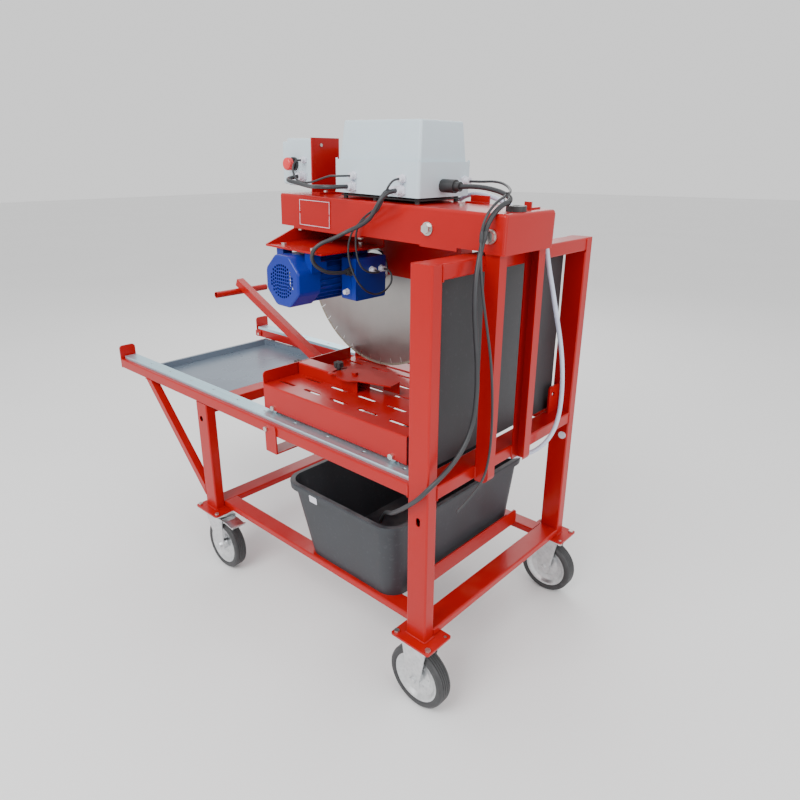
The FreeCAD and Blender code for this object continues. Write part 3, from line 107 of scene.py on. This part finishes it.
class Finish:
    # a material whose only surface shader is a Principled one
    def __init__(self, name, **constants):
        self.material = bpy.data.materials.new(name)
        self.material.use_nodes = True
        self.tree = self.material.node_tree
        self.tree.nodes.clear()
        self.shader = self.tree.nodes.new("ShaderNodeBsdfPrincipled")
        output = self.tree.nodes.new("ShaderNodeOutputMaterial")
        self.tree.links.new(self.shader.outputs[0], output.inputs[0])
        self.place = self.add("ShaderNodeTexCoord", output="Object")
        for socket, value in constants.items():
            self.shader.inputs[socket.replace("_", " ")].default_value = value

    def add(self, kind, settings=None, inputs=None, output=0):
        node = self.tree.nodes.new(kind)
        for name, value in (settings or {}).items():
            setattr(node, name, value)
        for socket, value in (inputs or {}).items():
            join(self.tree, value, node.inputs[socket])
        return Wire(self.tree, node.outputs[output])

    def noise(self, scale, detail=3.0, vector=None):
        sockets = {"Vector": vector or self.place, "Scale": scale, "Detail": detail}
        return self.add("ShaderNodeTexNoise", inputs=sockets)

    def stretched(self, scale):
        return self.add("ShaderNodeMapping", inputs={"Vector": self.place, "Scale": scale})

    def spread(self, value, low, high):
        return self.add("ShaderNodeMapRange", inputs={"Value": value, "From Min": low, "From Max": high})

    def along(self, axis, vector=None):
        return self.add("ShaderNodeSeparateXYZ", inputs={0: vector or self.place}, output=axis)

    def blended(self, factor, low, high):
        low = low if isinstance(low, Wire) else paint(low)
        high = high if isinstance(high, Wire) else paint(high)
        return self.add("ShaderNodeMix", {"data_type": "RGBA"}, {0: factor, 6: low, 7: high}, 2)

    def dusted(self, colour, dust, amount):
        # a film of pale dust on what faces up, broken into patches
        facing = self.add("ShaderNodeTexCoord", output="Normal")
        upward = self.spread(self.along("Z", facing), 0.6, 0.95)
        patches = self.spread(self.noise(11.0, 6.0), 0.42, 0.72)
        return self.blended(upward * patches * amount, colour, dust)

    def surface(self, colour, roughness, metallic=None):
        join(self.tree, colour, self.shader.inputs["Base Color"])
        join(self.tree, roughness, self.shader.inputs["Roughness"])
        if metallic is not None:
            join(self.tree, metallic, self.shader.inputs["Metallic"])

    def bumped(self, height, strength, distance):
        sockets = {"Strength": strength, "Distance": distance, "Height": height}
        bump = self.add("ShaderNodeBump", inputs=sockets)
        self.tree.links.new(bump.socket, self.shader.inputs["Normal"])
        return self.material


cameraFacts = {
    "place": (1.5275, 1.7618, 1.5441),
    "back": (0.6814, 0.6499, 0.3366),
    "roll": -0.33,
    "lens": 28.22,
    "shift": (0.0228, -0.0159),
}


def addCamera(facts):
    data = bpy.data.cameras.new("camera")
    data.lens = facts["lens"]
    data.sensor_width = 36.0
    data.shift_x, data.shift_y = facts["shift"]
    camera = bpy.data.objects.new("camera", data)
    bpy.context.scene.collection.objects.link(camera)
    back = Vector(facts["back"]).normalized()
    right = Vector((0, 0, 1)).cross(back).normalized()
    up = back.cross(right)
    roll = math.radians(facts["roll"])
    right, up = right * math.cos(roll) + up * math.sin(roll), up * math.cos(roll) - right * math.sin(roll)
    turn = Matrix((right, up, back)).transposed().to_4x4()
    camera.matrix_world = Matrix.Translation(facts["place"]) @ turn
    bpy.context.scene.camera = camera


addCamera(cameraFacts)

studioFacts = {
    "sky": 1.1,
    "keyLamp": {"place": (3.4, 0.6, 3.8), "power": 170.0, "size": 2.6},
    "fillLamp": {"place": (0.4, 4.4, 2.6), "power": 70.0, "size": 3.0},
    "backLamp": {"place": (-3.2, -2.4, 3.4), "power": 75.0, "size": 3.0},
    "floorTone": ((0.82, 0.82, 0.82), (0.86, 0.86, 0.86)),
}


def addStudio(facts):
    world = bpy.data.worlds.new("studio")
    bpy.context.scene.world = world
    world.use_nodes = True
    sky = world.node_tree.nodes["Background"]
    sky.inputs[0].default_value = (1.0, 1.0, 1.0, 1.0)
    sky.inputs[1].default_value = facts["sky"]
    for name in ("keyLamp", "fillLamp", "backLamp"):
        data = bpy.data.lights.new(name, "AREA")
        data.energy = facts[name]["power"]
        data.size = facts[name]["size"]
        lamp = bpy.data.objects.new(name, data)
        bpy.context.scene.collection.objects.link(lamp)
        lamp.location = facts[name]["place"]
        aim = Vector(facts[name]["place"]) - Vector((0.0, 0.0, 0.8))
        lamp.rotation_euler = aim.to_track_quat("Z", "Y").to_euler()
    bpy.ops.mesh.primitive_plane_add(size=60.0)
    floor = bpy.context.object
    floor.name = "floor"
    finish = Finish("paleFloor")
    finish.surface(finish.blended(finish.noise(0.8, 2.0), *facts["floorTone"]), 0.7)
    floor.data.materials.append(finish.material)


addStudio(studioFacts)
print("camera, lamps and floor placed")

coatFacts = {
    "redCoat": {
        "low": (0.33, 0.0008, 0.0006), "high": (0.44, 0.0016, 0.0010), "dust": (0.55, 0.20, 0.17),
        "film": 0.08,
    },
    "blueCoat": {
        "low": (0.002, 0.012, 0.20), "high": (0.004, 0.026, 0.32), "dust": (0.16, 0.20, 0.42),
        "film": 0.12,
    },
}


def paintedCoat(name, facts):
    # sprayed paint: slow colour drift, orange peel and dust
    finish = Finish(name, Coat_Weight=0.12, Coat_Roughness=0.12, Specular_IOR_Level=0.3)
    drift = finish.noise(3.0)
    colour = finish.blended(drift, facts["low"], facts["high"])
    colour = finish.dusted(colour, facts["dust"], facts["film"])
    finish.surface(colour, drift * 0.2 + 0.24)
    return finish.bumped(finish.noise(380.0, 2.0), 0.1, 0.0006)


zincFacts = {
    "zincPlate": {"low": (0.50, 0.51, 0.52), "high": (0.80, 0.81, 0.82), "rough": 0.22},
    "boltZinc": {"low": (0.44, 0.43, 0.41), "high": (0.74, 0.73, 0.70), "rough": 0.26},
}


def platedZinc(name, facts):
    # crystal spangle under a cloudy bloom
    finish = Finish(name, Metallic=1.0)
    spangle = finish.add("ShaderNodeTexVoronoi", inputs={"Vector": finish.place, "Scale": 90.0})
    bloom = finish.noise(28.0, 4.0)
    colour = finish.blended(spangle * 0.5 + bloom * 0.6, facts["low"], facts["high"])
    finish.surface(colour, bloom * 0.24 + facts["rough"])
    return finish.bumped(finish.noise(480.0, 2.0), 0.08, 0.0004)


railFacts = {"low": (0.34, 0.56, 0.66), "high": (0.66, 0.86, 0.94), "draw": (240.0, 3.0, 240.0)}


def drawnBar(facts):
    # drawing lines run the length of the bar
    finish = Finish("railZinc")
    lines = finish.noise(1.0, 4.0, finish.stretched(facts["draw"]))
    bloom = finish.noise(7.0, 4.0)
    colour = finish.blended(lines * 0.7 + bloom * 0.3, facts["low"], facts["high"])
    finish.surface(colour, lines * 0.2 + 0.26, bloom * 0.2 + 0.7)
    return finish.bumped(lines, 0.06, 0.0004)


bladeFacts = {"core": 0.352, "low": (0.28, 0.27, 0.26), "high": (0.56, 0.54, 0.52)}


def groundSteel(facts):
    # grinding rings on the core, grit on the rim
    finish = Finish("bladeSteel")
    low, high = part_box("blade")
    centre = (low + high) / 2
    acrossY = finish.along("Y") - centre.y
    acrossZ = finish.along("Z") - centre.z
    reach = (acrossY * acrossY + acrossZ * acrossZ).root()
    rings = finish.noise(700.0, 2.0, finish.add("ShaderNodeCombineXYZ", inputs={0: reach}))
    cloud = finish.noise(20.0, 4.0)
    grit = finish.noise(900.0, 2.0)
    rim = reach > facts["core"]
    core = finish.blended(rings * 0.5 + cloud * 0.4, facts["low"], facts["high"])
    edge = finish.blended(grit, (0.10, 0.09, 0.08), (0.48, 0.44, 0.34))
    finish.surface(finish.blended(rim, core, edge), cloud * 0.2 + 0.3 + rim * 0.3, 1.0 - rim * 0.6)
    return finish.bumped(rings * 0.2 + grit * rim, 0.15, 0.0006)


mouldFacts = {
    "greyEnclosure": {
        "low": (0.48, 0.58, 0.64), "high": (0.55, 0.64, 0.69), "rough": 0.30, "grain": 260.0,
        "depth": 0.12,
    },
    "whiteNylon": {
        "low": (0.60, 0.61, 0.70), "high": (0.74, 0.74, 0.80), "rough": 0.34, "grain": 400.0,
        "depth": 0.12,
    },
    "blackMould": {
        "low": (0.012, 0.012, 0.013), "high": (0.035, 0.035, 0.037), "rough": 0.36, "grain": 500.0,
        "depth": 0.3,
    },
    "buttonRed": {
        "low": (0.60, 0.02, 0.025), "high": (0.74, 0.04, 0.045), "rough": 0.20, "grain": 300.0,
        "depth": 0.05,
    },
    "sheathBlack": {
        "low": (0.012, 0.013, 0.015), "high": (0.038, 0.040, 0.045), "rough": 0.38, "grain": 700.0,
        "depth": 0.1,
    },
    "milkyHose": {
        "low": (0.46, 0.50, 0.66), "high": (0.64, 0.68, 0.82), "rough": 0.20, "grain": 500.0,
        "depth": 0.06,
    },
}


def mouldedPlastic(name, facts):
    # moulding grain over a faint flow mottle, with handling marks
    finish = Finish(name)
    mottle = finish.noise(8.0, 4.0)
    marks = finish.spread(finish.noise(55.0, 6.0), 0.60, 0.80)
    colour = finish.blended(mottle, facts["low"], facts["high"])
    colour = finish.dusted(colour, (0.55, 0.54, 0.52), 0.12)
    finish.surface(colour, mottle * 0.14 + marks * 0.14 + facts["rough"])
    return finish.bumped(finish.noise(facts["grain"], 2.0), facts["depth"], 0.0005)


rubberFacts = {
    "tyreRubber": {
        "low": (0.018, 0.018, 0.020), "high": (0.050, 0.050, 0.052), "flow": (40.0, 40.0, 40.0),
        "depth": 0.25,
    },
    "tubPlastic": {
        "low": (0.014, 0.016, 0.020), "high": (0.036, 0.041, 0.050), "flow": (8.0, 8.0, 2.0),
        "depth": 0.15,
    },
    "curtainRubber": {
        "low": (0.020, 0.021, 0.024), "high": (0.055, 0.058, 0.064), "flow": (5.0, 5.0, 1.4),
        "depth": 0.3,
    },
}


def blackRubber(name, facts):
    # streaked flow, scuffs, and slurry dust on what faces up
    finish = Finish(name)
    flow = finish.noise(1.0, 5.0, finish.stretched(facts["flow"]))
    scuff = finish.spread(finish.noise(90.0, 6.0), 0.58, 0.80)
    colour = finish.blended(flow, facts["low"], facts["high"])
    colour = finish.blended(scuff * 0.3, colour, (0.12, 0.13, 0.14))
    colour = finish.dusted(colour, (0.24, 0.24, 0.24), 0.3)
    finish.surface(colour, flow * 0.22 + scuff * 0.1 + 0.38)
    return finish.bumped(finish.noise(220.0, 3.0) + flow * 0.4, facts["depth"], 0.0009)


trayFacts = {"low": (0.130, 0.165, 0.215), "high": (0.240, 0.290, 0.350), "draw": (3.0, 60.0, 60.0)}


def rolledSheet(facts):
    # dark coated sheet with rolling lines and water marks
    finish = Finish("traySheet")
    lines = finish.noise(1.0, 4.0, finish.stretched(facts["draw"]))
    marks = finish.noise(5.0, 4.0)
    colour = finish.blended(lines * 0.4 + marks * 0.6, facts["low"], facts["high"])
    finish.surface(colour, marks * 0.22 + 0.16, lines * 0.2 + 0.3)
    return finish.bumped(lines, 0.05, 0.0005)


skins = {name: paintedCoat(name, facts) for name, facts in coatFacts.items()}
skins.update({name: platedZinc(name, facts) for name, facts in zincFacts.items()})
skins.update({name: mouldedPlastic(name, facts) for name, facts in mouldFacts.items()})
skins.update({name: blackRubber(name, facts) for name, facts in rubberFacts.items()})
skins["railZinc"] = drawnBar(railFacts)
skins["bladeSteel"] = groundSteel(bladeFacts)
skins["traySheet"] = rolledSheet(trayFacts)

slotSkins = {
    "red_paint": "redCoat", "plate_print": "redCoat", "blue_paint": "blueCoat", "zinc": "zincPlate",
    "bolts": "boltZinc", "rail_zinc": "railZinc", "tyre": "tyreRubber", "tray_steel": "traySheet",
    "black_tub": "tubPlastic", "black_rubber": "curtainRubber", "steel_blade": "bladeSteel",
    "grey_plastic": "greyEnclosure", "white_plastic": "whiteNylon", "black_plastic": "blackMould",
    "red_plastic": "buttonRed", "cable_pvc": "sheathBlack", "hose_pvc": "milkyHose",
}

for part in frame["record"]["subparts"]:
    slots = nodes[part["node"]].data.materials
    if len(slots) == 0:
        slots.append(None)
    for place in range(len(slots)):
        slots[place] = skins[slotSkins[part["material_slot"]]]
print("finishes put on", len(nodes), "nodes")

cordFacts = {
    "feedLead": {
        "node": "pump_cable", "skin": "sheathBlack", "slot": "cable_pvc",
        "diameter": 0.013, "length": 1.150, "end": "object",
        "route": [
            (0.227, 0.867, 1.371), (0.247, 0.872, 1.332), (0.268, 0.878, 1.280), (0.275, 0.882, 1.212),
            (0.266, 0.884, 1.138), (0.253, 0.884, 1.060), (0.248, 0.884, 0.980), (0.256, 0.884, 0.905),
            (0.285, 0.883, 0.848), (0.328, 0.880, 0.808), (0.374, 0.874, 0.780), (0.411, 0.862, 0.754),
            (0.423, 0.836, 0.718), (0.420, 0.795, 0.680), (0.411, 0.748, 0.641), (0.384, 0.704, 0.607),
            (0.345, 0.656, 0.574), (0.306, 0.604, 0.532), (0.276, 0.560, 0.472),
        ],
    },
    "floatLead": {
        "node": "pump_cable", "skin": "sheathBlack", "slot": "cable_pvc",
        "diameter": 0.007, "length": 0.778, "end": "bare",
        "route": [
            (0.240, 0.868, 1.371), (0.252, 0.878, 1.322), (0.258, 0.892, 1.246), (0.246, 0.900, 1.168),
            (0.226, 0.903, 1.088), (0.209, 0.903, 1.005), (0.200, 0.903, 0.925), (0.197, 0.903, 0.850),
            (0.203, 0.903, 0.780), (0.222, 0.902, 0.724), (0.262, 0.894, 0.686), (0.316, 0.884, 0.654),
        ],
    },
    "waterHose": {
        "node": "pump_hose", "skin": "milkyHose", "slot": "hose_pvc",
        "diameter": 0.014, "length": 1.143, "end": "object",
        "route": [
            (-0.070, 0.865, 1.371), (-0.073, 0.871, 1.324), (-0.084, 0.878, 1.264), (-0.106, 0.884, 1.198),
            (-0.136, 0.884, 1.130), (-0.169, 0.884, 1.060), (-0.198, 0.884, 0.985), (-0.217, 0.884, 0.910),
            (-0.224, 0.884, 0.835), (-0.217, 0.884, 0.768), (-0.191, 0.880, 0.716), (-0.150, 0.866, 0.680),
            (-0.110, 0.836, 0.658), (-0.084, 0.796, 0.648), (-0.076, 0.748, 0.640), (-0.070, 0.700, 0.616),
            (-0.065, 0.655, 0.576), (-0.061, 0.612, 0.524), (-0.058, 0.575, 0.468),
        ],
    },
}


def layCord(name, facts):
    data = bpy.data.curves.new(name, "CURVE")
    data.dimensions = "3D"
    data.resolution_u = 8
    data.bevel_depth = facts["diameter"] / 2
    data.bevel_resolution = 5
    data.use_fill_caps = True
    spline = data.splines.new("NURBS")
    spline.points.add(len(facts["route"]) - 1)
    for point, spot in zip(spline.points, facts["route"]):
        point.co = (*spot, 1.0)
    spline.order_u = 3
    spline.use_endpoint_u = True
    data.materials.append(skins[facts["skin"]])
    cord = bpy.data.objects.new(name, data)
    bpy.context.scene.collection.objects.link(cord)
    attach(cord, "frame")
    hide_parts(facts["node"])


for name, facts in cordFacts.items():
    layCord(name, facts)
print("leads and hose laid")


def clearAll():
    bpy.ops.object.select_all(action="DESELECT")


def finishPiece(name, skin, body=None, angle=40.0):
    # puts the place into the mesh, turns faces outwards and gives the piece its finish
    piece = bpy.context.object
    piece.name = name
    bpy.ops.object.transform_apply(location=True, rotation=True, scale=True)
    for modifier in list(piece.modifiers):
        bpy.ops.object.modifier_apply(modifier=modifier.name)
    bpy.ops.object.mode_set(mode="EDIT")
    bpy.ops.mesh.select_all(action="SELECT")
    bpy.ops.mesh.normals_make_consistent(inside=False)
    bpy.ops.object.mode_set(mode="OBJECT")
    bpy.ops.object.shade_smooth_by_angle(angle=math.radians(angle))
    piece.data.materials.clear()
    piece.data.materials.append(skins[skin])
    if body:
        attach(piece, body)
    clearAll()
    return piece


def pick(piece):
    clearAll()
    piece.select_set(True)
    bpy.context.view_layer.objects.active = piece


def joinAll(made):
    clearAll()
    for piece in made:
        piece.select_set(True)
    bpy.context.view_layer.objects.active = made[0]
    bpy.ops.object.join()
    return bpy.context.object


armFacts = {"pivot": (0.868, 1.372), "rest": 1.83}


def onArm(x, y, z):
    # a place on the level arm, moved to where the arm rests
    turn = math.radians(armFacts["rest"])
    dy = y - armFacts["pivot"][0]
    dz = z - armFacts["pivot"][1]
    return (x, armFacts["pivot"][0] + dy * math.cos(turn) + dz * math.sin(turn),
            armFacts["pivot"][1] - dy * math.sin(turn) + dz * math.cos(turn))


weldFacts = {"beadLong": 0.0042, "beadWide": 0.0034, "beadTall": 0.0022,
             "pitch": 0.0030, "segments": 8, "rings": 5, "smooth": 60.0}


def modelBead(facts):
    bpy.ops.mesh.primitive_uv_sphere_add(segments=facts["segments"], ring_count=facts["rings"], radius=1.0)
    bpy.ops.transform.resize(value=(facts["beadLong"], facts["beadWide"], facts["beadTall"]))
    bpy.ops.object.transform_apply(location=False, rotation=False, scale=True)
    return bpy.context.object


def layWelds(name, facts, seams, body):
    # each seam is a row of overlapping beads from one end to the other
    clearAll()
    bead = modelBead(facts)
    made = []
    for start, end in seams:
        run = Vector(end) - Vector(start)
        row = bead.copy()
        row.data = bead.data.copy()
        bpy.context.scene.collection.objects.link(row)
        pick(row)
        array = row.modifiers.new("row", "ARRAY")
        array.count = max(2, int(run.length / facts["pitch"]))
        array.use_relative_offset = False
        array.use_constant_offset = True
        array.constant_offset_displace = (facts["pitch"], 0.0, 0.0)
        bpy.ops.object.modifier_apply(modifier="row")
        row.rotation_mode = "QUATERNION"
        row.rotation_quaternion = run.to_track_quat("X", "Z")
        row.location = start
        bpy.ops.object.transform_apply(location=True, rotation=True, scale=True)
        made.append(row)
    bpy.data.objects.remove(bead)
    joinAll(made)
    finishPiece(name, "redCoat", body, facts["smooth"])


seamFacts = {
    "legOut": 0.400, "legIn": 0.360, "legs": ((0.780, 0.850), (-0.295, -0.225)), "foot": 0.247,
    "rearFace": 0.850, "topBeam": (1.282, 1.320), "railBeam": (0.697, 0.733),
    "strutHead": (-0.688, -0.655), "strutTop": 0.695,
    "postSides": (0.190, 0.157, 0.001, -0.032), "postSeam": (0.698, 0.733),
    "armSides": (0.194, -0.036), "armBack": 0.9065, "armSeam": (1.335, 1.420),
}


def frameSeams(facts):
    # legs on their foot plates, beam ends, strut heads and pivot posts
    seams = []
    rear, foot, legFront = facts["rearFace"], facts["foot"], facts["legs"][0][0]
    for side in (1, -1):
        outer, inner = side * facts["legOut"], side * facts["legIn"]
        for low, high in facts["legs"]:
            seams.append(((outer, low, foot), (outer, high, foot)))
            seams.append(((inner, low, foot), (outer, low, foot)))
            seams.append(((inner, high, foot), (outer, high, foot)))
        for low, high in (facts["topBeam"], facts["railBeam"]):
            seams.append(((inner, rear, low), (inner, rear, high)))
        low, high = facts["railBeam"]
        seams.append(((outer, legFront, low), (outer, legFront, high)))
        low, high = facts["strutHead"]
        seams.append(((outer, low, facts["strutTop"]), (outer, high, facts["strutTop"])))
    low, high = facts["postSeam"]
    for x in facts["postSides"]:
        seams.append(((x, rear, low), (x, rear, high)))
    return seams


def armSeams(facts):
    low, high = facts["armSeam"]
    return [(onArm(x, facts["armBack"], low), onArm(x, facts["armBack"], high)) for x in facts["armSides"]]


layWelds("frameWelds", weldFacts, frameSeams(seamFacts), "frame")
layWelds("armWelds", weldFacts, armSeams(seamFacts), "head")
print("weld seams laid")

tieFacts = {
    "near": (0.143, 0.8745, 1.459), "along": (0.95, 0.15, -0.2), "reach": 0.026, "slice": 0.010,
    "band": 0.0016, "wide": 0.0045, "section": 0.08, "head": (0.0062, 0.0046, 0.0056),
    "headLift": 0.0015, "edge": 0.0006,
}


def bundleAt(node, facts):
    # centre, half sizes and turn of the leads that pass close to a place
    near = Vector(facts["near"])
    axis = Vector(facts["along"]).normalized()
    side = axis.cross(Vector((0.0, 0.0, 1.0))).normalized()
    up = side.cross(axis)
    across, above = [], []
    for vertex in node.data.vertices:
        away = node.matrix_world @ vertex.co - near
        if abs(away.dot(axis)) < facts["slice"] and away.length < facts["reach"]:
            across.append(away.dot(side))
            above.append(away.dot(up))
    middle = near + side * (max(across) + min(across)) / 2 + up * (max(above) + min(above)) / 2
    half = ((max(across) - min(across)) / 2, (max(above) - min(above)) / 2)
    return middle, half, Matrix((side, up, side.cross(up))).transposed()


def addTie(name, facts):
    # a strap pulled round a bundle, with its square head
    clearAll()
    middle, half, turn = bundleAt(nodes["head_cables"], facts)
    thin = facts["section"]
    bpy.ops.mesh.primitive_torus_add(major_segments=36, minor_segments=8, major_radius=1.0, minor_radius=thin)
    reach = (half[0] + facts["band"], half[1] + facts["band"], facts["wide"] / (2 * thin))
    bpy.ops.transform.resize(value=reach)
    bpy.ops.object.transform_apply(location=False, rotation=False, scale=True)
    band = bpy.context.object
    lift = half[1] + facts["band"] + facts["headLift"]
    bpy.ops.mesh.primitive_cube_add(size=1.0, location=(0.0, lift, 0.0))
    bpy.ops.transform.resize(value=facts["head"])
    head = bpy.context.object
    bpy.ops.object.transform_apply(location=False, rotation=False, scale=True)
    bevel = head.modifiers.new("edges", "BEVEL")
    bevel.width = facts["edge"]
    bevel.segments = 2
    bpy.ops.object.modifier_apply(modifier="edges")
    tie = joinAll([band, head])
    tie.rotation_mode = "QUATERNION"
    tie.rotation_quaternion = turn.to_quaternion()
    tie.location = middle
    finishPiece(name, "blackMould", "head")


addTie("pumpTie", tieFacts)

sleeveFacts = {
    "feedSleeve": {
        "from": (0.2243, 0.8697, 1.3870), "to": (0.2319, 0.8682, 1.3612), "radius": 0.0070,
        "skin": "sheathBlack", "slot": "cable_pvc",
    },
    "floatSleeve": {
        "from": (0.2379, 0.8687, 1.3880), "to": (0.2424, 0.8700, 1.3610), "radius": 0.0038,
        "skin": "sheathBlack", "slot": "cable_pvc",
    },
    "hoseSleeve": {
        "from": (-0.0698, 0.8575, 1.3791), "to": (-0.0703, 0.8656, 1.3661), "radius": 0.0085,
        "skin": "milkyHose", "slot": "hose_pvc",
    },
}


cuffFacts = {"sides": 20, "rings": 8, "ease": 0.0004, "endRings": 2, "widen": 1.09, "narrow": 0.9174}


def addSleeve(name, facts, cuff):
    # a tapered sleeve laid straight across the arm pivot
    clearAll()
    start, end = Vector(facts["from"]), Vector(facts["to"])
    run = end - start
    around = facts["radius"] + cuff["ease"]
    bpy.ops.mesh.primitive_circle_add(vertices=cuff["sides"], radius=around, fill_type="NGON")
    bpy.ops.object.mode_set(mode="EDIT")
    bpy.ops.mesh.select_all(action="SELECT")
    step = {"value": (0.0, 0.0, run.length / cuff["rings"])}
    for ring in range(cuff["rings"]):
        grow = 1.0
        if ring < cuff["endRings"]:
            grow = cuff["widen"]
        elif ring >= cuff["rings"] - cuff["endRings"]:
            grow = cuff["narrow"]
        bpy.ops.mesh.extrude_region_move(TRANSFORM_OT_translate=step)
        bpy.ops.transform.resize(value=(grow, grow, 1.0))
    bpy.ops.object.mode_set(mode="OBJECT")
    sleeve = bpy.context.object
    sleeve.rotation_mode = "QUATERNION"
    sleeve.rotation_quaternion = run.to_track_quat("Z", "Y")
    sleeve.location = start
    made = finishPiece(name, facts["skin"])
    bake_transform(made)


for name, facts in sleeveFacts.items():
    addSleeve(name, facts, cuffFacts)
print("tie and sleeves fitted")

curtainFacts = {"low": (-0.358, 0.740), "high": (0.358, 1.300), "y": 0.7745, "thick": 0.0030,
                "sway": 0.0035, "fold": 0.16, "columns": 60, "rows": 48}


def addCurtain(facts):
    # a hung rubber sheet with a soft ripple
    clearAll()
    wide = facts["high"][0] - facts["low"][0]
    tall = facts["high"][1] - facts["low"][1]
    upright = (math.pi / 2, 0.0, 0.0)
    bpy.ops.mesh.primitive_grid_add(x_subdivisions=facts["columns"], y_subdivisions=facts["rows"],
                                    size=1.0, rotation=upright)
    bpy.ops.transform.resize(value=(wide, 1.0, tall))
    curtain = bpy.context.object
    curtain.location = (0.0, facts["y"], facts["low"][1] + tall / 2)
    bpy.ops.object.transform_apply(location=True, rotation=True, scale=True)
    ripple = bpy.data.textures.new("ripple", "CLOUDS")
    ripple.noise_scale = facts["fold"]
    sway = curtain.modifiers.new("sway", "DISPLACE")
    sway.texture = ripple
    sway.direction = "Y"
    sway.strength = facts["sway"]
    wall = curtain.modifiers.new("wall", "SOLIDIFY")
    wall.thickness = facts["thick"]
    wall.offset = 0.0
    made = finishPiece("rubberCurtain", "curtainRubber", "frame")
    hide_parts("curtain")


addCurtain(curtainFacts)
print("curtain in place")

plateFacts = {"x": 0.1983, "y": (0.134, 0.276), "z": (1.336, 1.414), "line": 0.0014, "relief": 0.0004}


def addBorder(facts):
    # the raised pale line round the nameplate
    clearAll()
    wide = facts["y"][1] - facts["y"][0]
    tall = facts["z"][1] - facts["z"][0]
    bpy.ops.mesh.primitive_plane_add(size=1.0, rotation=(0.0, math.pi / 2, 0.0))
    bpy.ops.transform.resize(value=(1.0, wide, tall))
    bpy.ops.object.transform_apply(location=False, rotation=True, scale=True)
    bpy.ops.object.mode_set(mode="EDIT")
    bpy.ops.mesh.select_all(action="SELECT")
    bpy.ops.mesh.inset(thickness=facts["line"])
    bpy.ops.mesh.delete(type="FACE")
    bpy.ops.object.mode_set(mode="OBJECT")
    border = bpy.context.object
    relief = border.modifiers.new("relief", "SOLIDIFY")
    relief.thickness = facts["relief"]
    relief.offset = 0.0
    border.location = onArm(facts["x"], sum(facts["y"]) / 2, sum(facts["z"]) / 2)
    border.rotation_euler = (-math.radians(armFacts["rest"]), 0.0, 0.0)
    finishPiece("plateBorder", "whiteNylon", "head")


addBorder(plateFacts)

labelFacts = {"near": (0.420, 0.361, 0.512), "wide": 0.036, "tall": 0.025, "thick": 0.0003,
              "corner": 0.003, "lift": 0.0006}


def addLabel(facts):
    # a blank label stuck to the tub's wall
    clearAll()
    tub = nodes["tub"]
    hit = tub.closest_point_on_mesh(tub.matrix_world.inverted() @ Vector(facts["near"]))
    spot, normal = hit[1], hit[2]
    outward = (tub.matrix_world.to_3x3() @ normal).normalized()
    bpy.ops.mesh.primitive_plane_add(size=1.0)
    bpy.ops.transform.resize(value=(facts["wide"], facts["tall"], 1.0))
    label = bpy.context.object
    bpy.ops.object.transform_apply(location=False, rotation=False, scale=True)
    bpy.ops.object.mode_set(mode="EDIT")
    bpy.ops.mesh.select_all(action="SELECT")
    bpy.ops.mesh.bevel(offset=facts["corner"], segments=3, affect="VERTICES")
    bpy.ops.object.mode_set(mode="OBJECT")
    wall = label.modifiers.new("wall", "SOLIDIFY")
    wall.thickness = facts["thick"]
    label.location = tub.matrix_world @ spot + outward * facts["lift"]
    label.rotation_mode = "QUATERNION"
    label.rotation_quaternion = outward.to_track_quat("Z", "Y")
    finishPiece("tubLabel", "whiteNylon", "frame")


addLabel(labelFacts)
print("border and label added")
